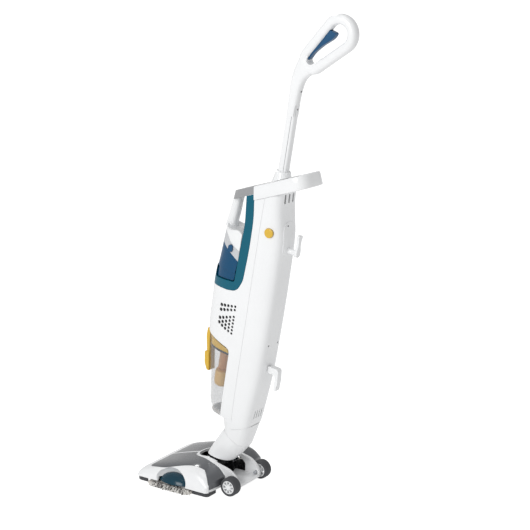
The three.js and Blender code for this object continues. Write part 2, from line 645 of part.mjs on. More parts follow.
// Cord gland low on the right flank, without a cord.
place('cord_gland', cut(
  bar([-40, 74, 186], [-56, 74, 186], 5, 16, 4), bar([-30, 74, 186], [-70, 74, 186], 2.6, 12)), DARK_GREY,
    upright);

// ---------------------------------------------------------------- top loop, collar and tube

// Slab that closes the body's top and runs on backwards as a carrying loop.
const LOOP_START = 5;
const LOOP_SEAM = [[28, 680], [21.2, topAt(21.2)], [14, 767]];
function topLoop() {
  const height = 33;
  const tilt = Math.atan(TOP_SLOPE);
  const start = LOOP_START;
  const at = (y) => (y - start) / Math.cos(tilt);
  const plan = outline([[-50, 0], [50, 0], [50, at(156), 34], [-50, at(156), 34]]);
  const hole = new THREE.Path(outline([[-38, at(92), 6], [38, at(92), 6], [38, at(144), 26],
    [-38, at(144), 26]]).getPoints(6));
  plan.holes.push(hole);
  const slab = extrude(plan, height, 8).rotateX(tilt).translate(0, start, topAt(start));
  const shaft = box(-10.5 - GAP, 10.5 + GAP, TUBE_Y - 11.5 - GAP, TUBE_Y + 11.5 + GAP, 700, 800);
  const hollow = across([[46, topAt(46) - 5], [84, topAt(84) - 5], [84, topAt(84) + 27],
    [46, topAt(46) + 27]], -43, 43);
  return cut(solid(slab), hollow, shaft, across([[-60, 680], ...LOOP_SEAM, [-60, 767]], -60, 60));
}
place('top_loop', topLoop(), WHITE, upright);

// Collar at the foot of the tube.
const collarProfile = [[0, 0], [24, 0], [22.5, 12], [18.5, 30], [17.6, 34],
  [0, 34]].map(([r, z]) => new THREE.Vector2(r, z));
const COLLAR_LOW = topAt(TUBE_Y) + 38;
place('tube_collar', cut(
  solid(new THREE.LatheGeometry(collarProfile, 22).rotateX(Math.PI / 2).translate(0, TUBE_Y,
    COLLAR_LOW - 14)),
  box(-10.5 - GAP, 10.5 + GAP, TUBE_Y - 11.5 - GAP, TUBE_Y + 11.5 + GAP, 700, 900),
  across([[0, topAt(0) + 37.4], [120, topAt(120) + 37.4], [120, 600], [0, 600]], -60, 60)), WHITE, upright);

const tubeSection = (halfWidth, halfDepth, radius) => [
  [-halfWidth, TUBE_Y - halfDepth, radius], [halfWidth, TUBE_Y - halfDepth, radius],
  [halfWidth, TUBE_Y + halfDepth, radius], [-halfWidth, TUBE_Y + halfDepth, radius]];
place('handle_tube', cut(
  raised(tubeSection(10.5, 11.5, 5), 713, TUBE_TOP), raised(tubeSection(8.7, 9.7, 4), 690, TUBE_TOP + 10)),
    WHITE, upright);

// ---------------------------------------------------------------- handle

// Closed path of the loop: an arc round the high centre, a straight, an arc round the low centre, a straight.
function loopPath(steps) {
  const axis = new THREE.Vector2(LOOP_HIGH.y - LOOP_LOW.y, LOOP_HIGH.z - LOOP_LOW.z);
  const heading = axis.angle();
  const spread = Math.acos((LOOP_HIGH.r - LOOP_LOW.r) / axis.length());
  const arc = (centre, from, to, count) => {
    const points = [];
    for (let i = 0; i <= count; i += 1) {
      const turn = from + ((to - from) * i) / count;
      points.push(new THREE.Vector3(0, centre.y + centre.r * Math.cos(turn),
        centre.z + centre.r * Math.sin(turn)));
    }
    return points;
  };
  const high = arc(LOOP_HIGH, heading - (Math.PI - spread), heading + (Math.PI - spread), steps);
  const low = arc(LOOP_LOW, heading + (Math.PI - spread), heading + Math.PI * 2 - (Math.PI - spread),
    steps - 4);
  const straight = (a, b) => [0.33, 0.67].map((t) => a.clone().lerp(b, t));
  return [...high, ...straight(high.at(-1), low[0]), ...low, ...straight(low.at(-1), high[0])];
}

// Ring of oval section that follows the loop.
function loopRing(thickness, width, sides = 10, steps = 8) {
  const path = loopPath(steps);
  const points = [];
  const faces = [];
  path.forEach((point, i) => {
    const next = path[(i + 1) % path.length];
    const ahead = next.clone().sub(path[(i - 1 + path.length) % path.length]).normalize();
    const out = new THREE.Vector3(0, ahead.z, -ahead.y);
    for (let k = 0; k < sides; k += 1) {
      const turn = (k / sides) * Math.PI * 2;
      const c = Math.cos(turn);
      const s = Math.sin(turn);
      const wide = (width / 2) * Math.sign(c) * Math.abs(c) ** 0.8;
      const thick = (thickness / 2) * Math.sign(s) * Math.abs(s) ** 0.8;
      points.push(point.clone().addScaledVector(out, thick).add(new THREE.Vector3(wide, 0, 0)));
      const row = i + 1 === path.length ? 0 : i + 1;
      const a = i * sides + k;
      const b = i * sides + ((k + 1) % sides);
      const c2 = row * sides + ((k + 1) % sides);
      const d = row * sides + k;
      faces.push(a, b, c2, a, c2, d);
    }
  });
  const geometry = new THREE.BufferGeometry().setFromPoints(points);
  geometry.setIndex(faces);
  return solid(geometry);
}

function stem(inset) {
  const rows = [[936, 60.8, 12, 13], [980, 60.5, 13, 13.5], [1012, 62, 15.5, 14], [1030, 66.5, 18.5, 14.3],
    [1042, 73.5, 23.5, 14.3], [1056, 81, 28, 14.2], [1070, 87, 30, 14], [1084, 91, 28, 13]];
  return loft(rows.map(([z, y, depth, width]) => oval(y, z + (z === 936 ? -inset * 2 : 0), 0,
    width - inset, depth - inset, 3, 16)));
}

// Lever on the inner side of the loop's front strand.
const triggerSide = (extra) => [
  [127 - extra, 1152 + extra, 4], [146 + extra, 1148 + extra, 5], [140 + extra, 1134 - extra, 8],
    [116 + extra, 1114 - extra],
  [95 + extra, 1092 - extra, 10], [85 + extra, 1073 - extra, 4], [78 - extra, 1077, 4],
    [83 - extra, 1096 + extra, 10],
  [103 - extra, 1122 + extra]];

// The lever's outline when it is squeezed, turned about its upper end.
function pressed(corners) {
  const pivot = new THREE.Vector2(139, 1143);
  return corners.map(([y, z, radius]) => {
    const point = new THREE.Vector2(y, z).rotateAround(pivot, -TRIGGER_TRAVEL);
    return [point.x, point.y, radius];
  });
}

function handleShell(side) {
  const grip = join(loopRing(LOOP_THICKNESS, LOOP_WIDTH), stem(0));
  const eye = across(loopEye(LOOP_THICKNESS / 2 - 0.5), -40, 40);
  const eyeWall = across(loopEye(LOOP_THICKNESS / 2 - 3), -40, 40);
  const hollow = join(loopRing(LOOP_THICKNESS - 5, LOOP_WIDTH - 5, 6), cut(stem(2.4), eyeWall));
  const screwHoles = join(bar([0, 50, 953], [0, 90, 953], 1.8 + GAP, 8),
    bar([0, 50, 996], [0, 90, 996], 1.8 + GAP, 8));
  const trimmed = cut(grip, eye, hollow, screwHoles, raised(tubeSection(10.5 + GAP, 11.5 + GAP, 5), 900,
    TUBE_TOP + GAP),
    across(triggerSide(1.2), -7.6, 7.6), across(pressed(triggerSide(1.2)), -7.6, 7.6));
  const half = side > 0 ? box(GAP / 2, 60, 0, 300, 900, 1300) : box(-60, -GAP / 2, 0, 300, 900, 1300);
  return trimmed.intersect(half);
}

// Clear space inside the loop, kept open where the stem meets it.
function loopEye(shrink) {
  const path = loopPath(8);
  const middle = new THREE.Vector3(0, (LOOP_LOW.y + LOOP_HIGH.y) / 2, (LOOP_LOW.z + LOOP_HIGH.z) / 2);
  return path.map((point, i) => {
    const next = path[(i + 1) % path.length];
    const ahead = next.clone().sub(path[(i - 1 + path.length) % path.length]).normalize();
    const out = new THREE.Vector3(0, ahead.z, -ahead.y);
    if (out.dot(point.clone().sub(middle)) < 0) out.negate();
    const inside = point.clone().addScaledVector(out, -shrink);
    return [inside.y, inside.z];
  });
}

place('handle_left', handleShell(1), WHITE, upright);
place('handle_right', handleShell(-1), WHITE, upright);
place('trigger', across(triggerSide(0), -7, 7), BLUE, upright);

// ---------------------------------------------------------------- water tank and its frame

// Teal frame: two flanks that rise to the cap and a basket that holds the tank's foot.
const CAP_LOW = 16.5;
function tankFrame() {
  const flank = outer.intersect(across([
    [-110, FRAME_BOTTOM - 4.6 + GAP], [-20, FRAME_BOTTOM + GAP], [11 - GAP, FRAME_BOTTOM + 6 + GAP, 18],
      [24 - GAP, 520, 10],
    [28.5 - GAP, 600, 30], [28 - GAP, 680, 30], [21 - GAP, topAt(21)], [18.2, topAt(18.2) + CAP_LOW - GAP],
    [-3, topAt(-3) + CAP_LOW - GAP], [5.5, 662, 24], [1.2, 565], [-1, 508, 5], [-68, 500, 5], [-73, 527],
      [-110, 527]],
  -60, 60));
  const spine = box(-44.5, 44.5, 5, 60, FRAME_BOTTOM + 8, 780);
  const keepBack = box(-60, 60, 15, 60, 470, 560);
  const well = bodyEnvelope(3.2).intersect(across(
    [[-68, 500], [-1, 508, 5], [4, 575], [4, 800], [-120, 800], [-120, 527], [-73, 527]], -60, 60));
  const through = box(-44.4, 44.4, -100, 60, 560, 800);
  return cut(flank, well, through, cut(spine, keepBack));
}
place('tank_frame', tankFrame(), TEAL, upright);

const tankEnvelope = bodyEnvelope(1.5);
const tankSide = (inset) => [
  [-100, TANK_BOTTOM + 27 + inset], [-72.4 + inset, TANK_BOTTOM + 27 + inset],
    [-67.4 + inset, TANK_BOTTOM + inset, 4],
  [-5.6 - inset, TANK_BOTTOM + 7.6 + inset, 5], [-0.2 - inset, 561 - inset * 0.6], [-50, 587 - inset],
  [-100, 610.6 - inset]];

function tank() {
  const full = join(tankEnvelope.intersect(box(-60, 60, -110, 60, 528.8, 700)), bodyEnvelope(3.8));
  const shape = full.intersect(across(tankSide(0), -60, 60));
  const front = across([[-100, 531], [-77, 529], [-73.5, 531, 2], [-70.5, 568, 2], [-74, 570],
    [-100, 570]], -60, 60);
  const hollow = bodyEnvelope(6).intersect(across(tankSide(2.4), -60, 60)).intersect(box(-60, 60, -67.6,
    60, 400, 700));
  return cut(shape, front, hollow, bar([0, -34, 560], [0, -34, 600], 11, 20));
}
place('tank', tank(), TANK_BLUE, upright);

// Grey collar on the tank: its edges fall towards the back.
const COLLAR_TOP = [[0.2, 587], [-29, 597.5, 12], [-46, 616, 14], [-100, 644]];
const TANK_BUTTON = { y: -27, z: 587.2, halfDepth: 6.2, halfHeight: 8.8 };
const buttonShape = (extra, low, high) => {
  const deep = TANK_BUTTON.halfDepth + extra;
  const tall = TANK_BUTTON.halfHeight + extra;
  const { y, z } = TANK_BUTTON;
  return across([[y - deep, z - tall, deep], [y + deep, z - tall, deep], [y + deep, z + tall, deep],
    [y - deep, z + tall, deep]], low, high, 5);
};
function tankCollar() {
  const band = tankEnvelope.intersect(across([[-100, 611], [-50, 587.4], [0.2, 561.4], ...COLLAR_TOP], -60,
    60));
  const hollow = box(-33, 33, -62, -8, 500, 700).intersect(across(
    [[-8, 500], [-8, 583], [-30, 592, 8], [-48, 610], [-100, 637], [-100, 500]], -60, 60));
  return cut(band, hollow, buttonShape(GAP, 36, 60), buttonShape(GAP, -60, -36));
}
place('tank_collar', tankCollar(), PALE_GREY, upright);
place('tank_button_left', buttonShape(0, 39.5, 47.6), BLUE, upright);
place('tank_button_right', buttonShape(0, -47.6, -39.5), BLUE, upright);

// Grip: a wide foot on the collar and a rounded strand that rises to the cap.
const gripRows = [[606, -58, 19, 24], [622, -61, 16, 18], [640, -60.5, 13.5, 14.5],
  [667, -56.5, 12.6, 13.5],
  [700, -53, 11.5, 13.5], [728, -50, 12, 16]];
const capSide = [
  [-110, 676], [-58, 700, 4], [-30, topAt(-30) + CAP_LOW - 2, 20], [-3, topAt(-3) + CAP_LOW],
    [18, topAt(18) + CAP_LOW],
  [13.6, 765], [-90, 714]];
function tankGrip() {
  const strand = loft(gripRows.map(([z, y, depth, width]) => oval(y, z, 0, width, depth, 2.6, 16)));
  const foot = tankEnvelope.intersect(across(
    [[0.2, 587.4], [0.6, 631, 3], [-14, 638, 8], [-44, 628, 10], [-100, 660], [-100, 500]], -60, 60));
  const below = across([[-100, 400], ...COLLAR_TOP.map(([y, z, r]) => [y, z + GAP, r]).reverse(),
    [40, 587], [40, 400]]
    .reverse(), -60, 60);
  return cut(join(strand, foot), below, across(capSide.map(([y, z, r]) => [y, z - GAP, r]), -60, 60),
    box(-60, 60, -110, 60, 722, 800));
}
place('tank_grip', tankGrip(), WHITE, upright);

// Grey cap over the grip, level with the loop's top.
function gripCap() {
  const tilt = Math.atan(TOP_SLOPE);
  const lid = solid(extrude(outline([[-60, 0], [60, 0], [60, 110], [-60, 110]]), 60).rotateX(tilt)
    .translate(0, -75, topAt(-75) + 36.7));
  return cut(outer.intersect(across(capSide, -60, 60)), lid);
}
place('grip_cap', gripCap(), MID_GREY, upright);

// ---------------------------------------------------------------- dust cup

const cupEnvelope = bodyEnvelope(1.2);
const cupSide = (inset) => [
  [14 - GAP * 2 - inset, CUP_BOTTOM + inset, 4], [14 - GAP * 2 - inset, 332 - inset, 13],
  [-110, 361.6 - inset * 1.3], [-110, CUP_BOTTOM + inset]];

function dustCup() {
  const shape = cupEnvelope.intersect(across(cupSide(0), -60, 60));
  const hollow = bodyEnvelope(3.6).intersect(across(cupSide(2.4), -60, 60));
  const mouth = across([[8, 262], [8, 290, 10], [30, 290], [30, 262]], -16, 16);
  return cut(shape, hollow, mouth);
}
place('dust_cup', dustCup(), CUP_CLEAR, upright);

// Inside the cup: yellow lid block, dark gasket plate, filter body and its wider foot.
const cupInside = bodyEnvelope(4).intersect(across(cupSide(2.8), -60, 60));
place('cup_lid', cupInside.intersect(box(-60, 60, -110, 60, 321.6, 400)), YELLOW, upright);
place('cup_gasket', cupInside.intersect(box(-60, 60, -110, 60, 316, 321.2)), DARK_GREY, upright);

const CORE_Y = -17;
function pleated(low, high, radius, pleats) {
  const shape = new THREE.Shape();
  for (let i = 0; i < pleats * 2; i += 1) {
    const turn = (i / (pleats * 2)) * Math.PI * 2;
    const r = i % 2 ? radius : radius - 3;
    if (i === 0) shape.moveTo(r, 0);
    else shape.lineTo(r * Math.cos(turn), r * Math.sin(turn));
  }
  shape.closePath();
  return extrude(shape, high - low).translate(0, CORE_Y, low);
}
place('cup_filter', pleated(259, 315.6, 21, 16), TAN, upright);
place('filter_foot', loft([oval(-15, 218, 0, 28, 17, 2.2), oval(-15, 226, 0, 35, 22, 2.2),
  oval(-15, 250, 0, 36, 23, 2.2), oval(-15, 258.6, 0, 34, 21.6, 2.2)]), YELLOW, upright);

// Latch on the cup's front: strip, flared top and thumb button.
function cupLatch() {
  const strip = across([[-73.8, 351], [-82, 352, 3], [-83, 330, 6], [-75.5, 290], [-69, 255, 3],
    [-61.5, 252],
    [-63, 262], [-71.4, 318]], -11, 11);
  const button = across([[-68, 290, 2], [-80.5, 288, 3], [-76, 256, 5], [-67, 240, 3], [-60.5, 240],
    [-64, 262]], -13, 13);
  return join(strip, button);
}
place('cup_latch', cupLatch(), YELLOW, upright);

// ---------------------------------------------------------------- working parts inside

place('air_duct', cut(
  across([[54, 152, 6], [76, 152, 6], [76, 258, 10], [36, 300, 8], [18.5, 300], [18.5, 266], [34, 266, 6],
    [54, 248, 6]], -15, 15),
  across([[56, 140], [74, 140], [74, 256, 10], [36, 298, 8], [10, 298], [10, 268], [36, 268, 6],
    [56, 250, 6]], -13, 13)), DARK_GREY, upright);

place('motor_mount', cut(
  bar([0, 0, 384], [0, 0, 391], 40.5, 20), bar([0, 0, 380], [0, 0, 395], 33, 20)), RUBBER, upright);
place('motor_can', cut(
  join(bar([0, 0, 384.5], [0, 0, 445], 32, 20), bar([0, 0, 391.6], [0, 0, 408], 40, 20)),
  bar([0, 0, 380], [0, 0, 442], 29.5, 20)), STEEL, upright);
place('rotor', join(
  bar([0, 0, 388], [0, 0, 437], 4, 14), bar([0, 0, 398], [0, 0, 403], 28, 20),
    bar([0, 0, 410], [0, 0, 430], 17, 14)), STEEL, upright);
place('exhaust_filter', cut(
  across([[-42, 449], [24, 452], [24, 470, 3], [-42, 467, 3]], -38, 38),
  across([[-30, 440], [10, 440], [10, 464], [-30, 464]], -24, 24)), PALE_GREY, upright);

place('boiler', join(
  across([[56, 392, 8], [98, 392, 8], [98, 500, 8], [56, 500, 8]], -33, 33),
    bar([0, 77, 499], [0, 77, 508], 8, 14)), STEEL, upright);
place('pump', join(
  bar([0, 74, 528], [0, 74, 568], 18, 24), bar([0, 74, 516], [0, 74, 528.4], 9, 16),
    bar([0, 74, 567.6], [0, 74, 580], 5, 12)), DARK_GREY, upright);
place('control_board', join(
  box(-34, 38.5, 62, 64, 630, 705), box(-28, -8, 63.9, 80, 636, 660), box(4, 22, 63.9, 72, 640, 652),
    box(-24, 10, 63.9, 70, 680, 698)), TEAL, upright);
place('water_hose', hose([[0, 40, 500], [0, 42, 540], [12, 48, 590], [14, 62, 604], [0, 74, 594],
  [0, 74, 581.2]], 3.2), PALE_GREY, upright);
place('steam_hose', hose([[28, 90, 391], [28, 92, 340], [26, 86, 250], [20.5, 70, 150], [14, 56, 116]],
  3.2), BRASS, upright);

export default machine;
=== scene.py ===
"""Upright vacuum and steam mop: the finished look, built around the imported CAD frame."""

import math
from random import Random

import bpy
from mathutils import Matrix, Vector


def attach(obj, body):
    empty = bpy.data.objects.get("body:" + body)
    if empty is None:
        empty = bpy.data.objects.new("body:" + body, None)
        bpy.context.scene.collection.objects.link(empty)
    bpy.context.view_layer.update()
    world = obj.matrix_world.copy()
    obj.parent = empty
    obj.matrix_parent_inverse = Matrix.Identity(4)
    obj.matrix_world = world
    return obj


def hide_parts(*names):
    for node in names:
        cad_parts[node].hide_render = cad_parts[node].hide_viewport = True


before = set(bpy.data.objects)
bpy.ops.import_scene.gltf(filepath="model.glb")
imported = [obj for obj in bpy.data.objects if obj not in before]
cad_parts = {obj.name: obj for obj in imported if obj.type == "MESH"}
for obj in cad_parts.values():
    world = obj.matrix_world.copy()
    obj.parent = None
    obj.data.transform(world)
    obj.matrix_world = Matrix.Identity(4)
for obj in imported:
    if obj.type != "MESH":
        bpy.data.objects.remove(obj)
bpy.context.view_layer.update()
SCENE = bpy.context.scene
MM = 0.001

# ---------------------------------------------------------------- driving dimensions, millimetres

GAP = 0.4
WALL = 2.6
SOFT_EDGE = 0.7
AXLE_BEHIND_PAD = 152
LEAN = math.radians(10)
HINGE = (0, -88, 48)
SEAM = 49
FRAME_BOTTOM = 482
TOP_SLOPE = 0.49
TOP_AT_ZERO = 713
TUBE_Y = 60.5
TUBE_TOP = 962
TUBE_HALF_WIDTH = 10.5
TUBE_HALF_DEPTH = 11.5
TUBE_WALL = 1.8
TANK_BOTTOM = 502
CUP_BOTTOM = 163
LOOP_START = 5
CAP_LOW = 16.5

HEAD_HALF_WIDTH = 125
HEAD_FRONT = -266
HEAD_REAR = -28
COVER_BASE = 14
SHELL_THICKNESS = 2.2
SCOOP_MIDDLE = -146
WHEEL_RADIUS = 24
WHEEL_WIDTH = 26
WHEEL_X = 69
RIM_RADIUS = 17.5

# Machine coordinates start under the wheel axle. The upright's own lean back from the neck hinge.
MACHINE = Matrix.Translation((0, AXLE_BEHIND_PAD * MM, 0)) @ Matrix.Scale(MM, 4)
UPRIGHT = MACHINE @ Matrix.Translation(HINGE) @ Matrix.Rotation(-LEAN, 4, "X")


# ---------------------------------------------------------------- closed solids

class Solid:
    """A closed mesh in millimetres that joins (+), cuts (-) and intersects (&) with others."""

    def __init__(self, points, faces):
        self.points = [Vector(p) for p in points]
        self.faces = [list(f) for f in faces]
        if self.volume() < 0:
            self.faces = [f[::-1] for f in self.faces]

    def volume(self):
        total = 0
        for face in self.faces:
            first = self.points[face[0]]
            for a, b in zip(face[1:], face[2:]):
                total += first.dot(self.points[a].cross(self.points[b]))
        return total / 6

    def mesh(self, name="solid"):
        made = bpy.data.meshes.new(name)
        made.from_pydata(self.points, [], self.faces)
        return made

    def combine(self, other, operation):
        objects = [bpy.data.objects.new("solid", s.mesh()) for s in (self, other)]
        for one in objects:
            SCENE.collection.objects.link(one)
        boolean = objects[0].modifiers.new("boolean", "BOOLEAN")
        boolean.solver = "MANIFOLD"
        boolean.operation = operation
        boolean.object = objects[1]
        result = objects[0].evaluated_get(bpy.context.evaluated_depsgraph_get()).to_mesh()
        points = [v.co.copy() for v in result.vertices]
        faces = [list(p.vertices) for p in result.polygons]
        for one in objects:
            data = one.data
            bpy.data.objects.remove(one)
            bpy.data.meshes.remove(data)
        return Solid(points, faces)

    def __add__(self, other):
        return self.combine(other, "UNION")

    def __sub__(self, other):
        return self.combine(other, "DIFFERENCE")

    def __and__(self, other):
        return self.combine(other, "INTERSECT")

    def moved(self, matrix):
        return Solid([matrix @ p for p in self.points], self.faces)


def loft(rings):
    """Solid through rings of equal length, closed by a flat face at both ends."""
    count = len(rings[0])
    points = [p for ring in rings for p in ring]
    faces = [list(range(count))[::-1], [len(points) - count + i for i in range(count)]]
    for row in range(len(rings) - 1):
        for i in range(count):
            a, b = row * count + i, row * count + (i + 1) % count
            faces.append((a, b, b + count, a + count))
    return Solid(points, faces)


def rounded(corners, steps):
    """Corners given as (a, b) or (a, b, radius), as a list of points with round corners."""
    points = []
    flat = [Vector(c[:2]) for c in corners]
    for i, corner in enumerate(corners):
        here, before, after = flat[i], flat[i - 1], flat[(i + 1) % len(flat)]
        reach = 0.49 * min((before - here).length, (after - here).length)
        radius = min(corner[2] if len(corner) > 2 else 0, reach)
        if radius <= 0:
            points.append(here)
            continue
        start = here + (before - here).normalized() * radius
        end = here + (after - here).normalized() * radius
        for k in range(steps + 1):
            t = k / steps
            points.append(start * (1 - t) ** 2 + here * 2 * t * (1 - t) + end * t * t)
    return points


def prism(outline, low, high, place):
    """Outline carried from low to high; place turns (a, b, height) into a point."""
    ring = [place(p[0], p[1], low) for p in outline]
    other = [place(p[0], p[1], high) for p in outline]
    return loft([ring, other])


def raised(corners, low, high, steps=8):
    """Outline in x and y, raised from one height to another."""
    return prism(rounded(corners, steps), low, high, lambda a, b, h: Vector((a, b, h)))


def across(corners, low, high, steps=8):
    """Side outline in y and z, carried sideways from one x to another."""
    return prism(rounded(corners, steps), low, high, lambda a, b, h: Vector((h, a, b)))


def through(corners):
    """Side outline carried through the whole width of the body."""
    return across(corners, -60, 60)


def box(x0, x1, y0, y1, z0, z1):
    return raised([(x0, y0), (x1, y0), (x1, y1), (x0, y1)], z0, z1)


def layer(low, high):
    """Everything between two heights, in the front of the body."""
    return box(-60, 60, -110, 60, low, high)


def bar(start, end, radius, sides=40):
    """Round bar between two points."""
    a, b = Vector(start), Vector(end)
    turn = (b - a).to_track_quat("Z", "Y")
    rings = []
    for middle in (a, b):
        ring = []
        for k in range(sides):
            angle = k / sides * math.tau
            ring.append(middle + turn @ Vector((radius * math.cos(angle), radius * math.sin(angle), 0)))
        rings.append(ring)
    return loft(rings)


def turned(rows, centre=(0, 0, 0), sides=64):
    """Profile of (radius, z) rows turned round an upright axis, from axis to axis or closed."""
    points, faces = [], []
    count = len(rows)
    for k in range(sides):
        angle = k / sides * math.tau
        for r, z in rows:
            points.append(Vector((r * math.cos(angle), r * math.sin(angle), z)) + Vector(centre))
    closed = rows[0][0] > 0
    for k in range(sides):
        after = (k + 1) % sides
        for i in range(count if closed else count - 1):
            j = (i + 1) % count
            faces.append([k * count + i, after * count + i, after * count + j, k * count + j])
    return Solid(*welded(points, faces))


def welded(points, faces):
    """Points at the same place become one, and faces lose repeated corners."""
    index, kept, place = {}, [], []
    for p in points:
        key = tuple(round(c, 4) for c in p)
        if key not in index:
            index[key] = len(kept)
            kept.append(p)
        place.append(index[key])
    clean = []
    for face in faces:
        corners = [place[i] for i in face]
        corners = [c for i, c in enumerate(corners) if c != corners[i - 1]]
        if len(corners) > 2:
            clean.append(corners)
    return kept, clean


def ball(centre, radii, sides=96, rows=48):
    """Ellipsoid about a centre."""
    profile = [(math.sin(i / rows * math.pi), -math.cos(i / rows * math.pi)) for i in range(rows + 1)]
    unit = turned([(max(r, 0) if 0 < i < rows else 0, z) for i, (r, z) in enumerate(profile)], sides=sides)
    return unit.moved(Matrix.Translation(centre) @ Matrix.Diagonal((*radii, 1)))


def along(rows, place):
    """Smooth curve through (place, value) rows, level beyond both ends."""
    if place <= rows[0][0]:
        return rows[0][1]
    if place >= rows[-1][0]:
        return rows[-1][1]
    i = next(n for n in range(len(rows) - 1) if place <= rows[n + 1][0])

    def slope(n):
        low, high = max(n - 1, 0), min(n + 1, len(rows) - 1)
        return (rows[high][1] - rows[low][1]) / (rows[high][0] - rows[low][0])

    width = rows[i + 1][0] - rows[i][0]
    t = (place - rows[i][0]) / width
    return ((2 * t**3 - 3 * t**2 + 1) * rows[i][1] + (t**3 - 2 * t**2 + t) * width * slope(i)
            + (3 * t**2 - 2 * t**3) * rows[i + 1][1] + (t**3 - t**2) * width * slope(i + 1))


def signed_power(value, power):
    return math.copysign(abs(value) ** power, value)


def oval(y, z, tilt, half_width, half_depth, power=2.5, count=64):
    """Oval ring round (0, y, z) in a plane that tilts back."""
    ring = []
    for k in range(count):
        angle = k / count * math.tau
        x = half_width * signed_power(math.cos(angle), 2 / power)
        d = half_depth * signed_power(math.sin(angle), 2 / power)
        ring.append(Vector((x, y + d * math.cos(tilt), z - d * math.sin(tilt))))
    return ring


def between(rows, count):
    """Rows of numbers resampled to count rows along a smooth curve through them."""
    made = []
    for k in range(count):
        place = k / (count - 1) * (len(rows) - 1)
        columns = [[(i, row[n]) for i, row in enumerate(rows)] for n in range(len(rows[0]))]
        made.append([along(column, place) for column in columns])
    return made


# ---------------------------------------------------------------- materials

def links(material):
    tree = material.node_tree
    return tree.nodes, tree.links


def rgb(code):
    """Linear colour from a hexadecimal screen colour."""
    parts = [(code >> shift & 255) / 255 for shift in (16, 8, 0)]
    return tuple(c / 12.92 if c <= 0.04045 else ((c + 0.055) / 1.055) ** 2.4 for c in parts)


def plastic(name, code, roughness, coat=0.0, alpha=1.0, grain=0.04, mottle=0.03, specular=0.5):
    """Moulded plastic: faint colour and gloss variation, a fine grain and softened edges."""
    color = rgb(code)
    material = bpy.data.materials.new(name)
    material.use_nodes = True
    nodes, wire = links(material)
    shader = nodes["Principled BSDF"]
    shader.inputs["Specular IOR Level"].default_value = specular
    shader.inputs["Coat Weight"].default_value = coat
    shader.inputs["Coat Roughness"].default_value = 0.08
    shader.inputs["Alpha"].default_value = alpha
    place = nodes.new("ShaderNodeTexCoord")
    cloud = nodes.new("ShaderNodeTexNoise")
    cloud.inputs["Scale"].default_value = 9
    wire.new(place.outputs["Object"], cloud.inputs["Vector"])
    shade = nodes.new("ShaderNodeMix")
    shade.data_type = "RGBA"
    shade.inputs["A"].default_value = (*[c * (1 - mottle) for c in color], 1)
    shade.inputs["B"].default_value = (*[min(1, c * (1 + mottle)) for c in color], 1)
    wire.new(cloud.outputs["Fac"], shade.inputs["Factor"])
    wire.new(shade.outputs["Result"], shader.inputs["Base Color"])
    gloss = nodes.new("ShaderNodeMapRange")
    gloss.inputs["To Min"].default_value = roughness * 0.85
    gloss.inputs["To Max"].default_value = roughness * 1.15
    wire.new(cloud.outputs["Fac"], gloss.inputs["Value"])
    wire.new(gloss.outputs["Result"], shader.inputs["Roughness"])
    fine = nodes.new("ShaderNodeTexNoise")
    fine.inputs["Scale"].default_value = 1400
    wire.new(place.outputs["Object"], fine.inputs["Vector"])
    soft = nodes.new("ShaderNodeBevel")
    soft.samples = 4
    soft.inputs["Radius"].default_value = SOFT_EDGE * MM
    bump = nodes.new("ShaderNodeBump")
    bump.inputs["Strength"].default_value = grain
    bump.inputs["Distance"].default_value = 0.0002
    wire.new(fine.outputs["Fac"], bump.inputs["Height"])
    wire.new(soft.outputs["Normal"], bump.inputs["Normal"])
    wire.new(bump.outputs["Normal"], shader.inputs["Normal"])
    return material


WHITE = plastic("white_plastic", 0xF4F5F6, 0.22, coat=0.25)
PALE_GREY = plastic("pale_grey_plastic", 0xC9CBCE, 0.35)
MID_GREY = plastic("mid_grey_plastic", 0x9A9B9D, 0.3, coat=0.2)
DARK_GREY = plastic("dark_grey_plastic", 0x3C3D40, 0.5, grain=0.1)
BLACK = plastic("black_plastic", 0x17181A, 0.5, grain=0.1)
TEAL = plastic("teal_plastic", 0x005E74, 0.3, coat=0.05, specular=0.25)
PEDAL_TEAL = plastic("pedal_plastic", 0x08394A, 0.22, coat=0.25, specular=0.3)
BLUE = plastic("blue_plastic", 0x1B5078, 0.3, coat=0.05, specular=0.3)
YELLOW = plastic("yellow_plastic", 0xE0B63C, 0.3, coat=0.1)
STEEL = plastic("steel", 0xA9ACB0, 0.3, grain=0.1)
BOARD = plastic("circuit_board", 0x2B6B4C, 0.5)
RUBBER = plastic("rubber", 0x47484B, 0.75, grain=0.35)
HOSE = plastic("silicone_hose", 0xC4A063, 0.5)
SMOKE = plastic("smoke_plastic", 0x5F6165, 0.22, coat=0.35, alpha=0.97)
TANK_BLUE = plastic("tank_plastic", 0x004B73, 0.16, coat=0.05, alpha=0.94, specular=0.3)
# The lid, filter paper and filter foot colours are raised above their own colours as painted light, making
# up for the light the clear cup walls hold back; the lid is a brighter copy of the yellow plastic.
LID_YELLOW_PAINTED_BRIGHT = plastic("lid_yellow_painted_bright", 0xFFCE36, 0.3, coat=0.1)
CUP_CLEAR = plastic("cup_plastic", 0x9A9DA1, 0.06, coat=0.4, alpha=0.2)
FILTER = plastic("filter_paper", 0xF2C79C, 0.8, grain=0.5, mottle=0.1)
AMBER = plastic("amber_plastic", 0xFFD083, 0.4, coat=0.2)
CLOTH = plastic("microfibre", 0xD2CEC8, 0.95, grain=1.0, mottle=0.15)


# ---------------------------------------------------------------- pieces

SHARP_EDGE = math.radians(32)
CAD_SHARP_EDGE = math.radians(35)


def piece(name, solid, material, body, where, nodes):
    """Solid shown as a piece that rides on a body and stands for CAD nodes, if it has any."""
    mesh = solid.mesh(name)
    mesh.transform(where)
    mesh.polygons.foreach_set("use_smooth", [True] * len(mesh.polygons))
    mesh.set_sharp_from_angle(angle=SHARP_EDGE)
    mesh.materials.append(material)
    made = bpy.data.objects.new(name, mesh)
    SCENE.collection.objects.link(made)
    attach(made, body)
    if nodes:
        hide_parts(*nodes)
    return made


# ---------------------------------------------------------------- body envelope, in the upright's frame

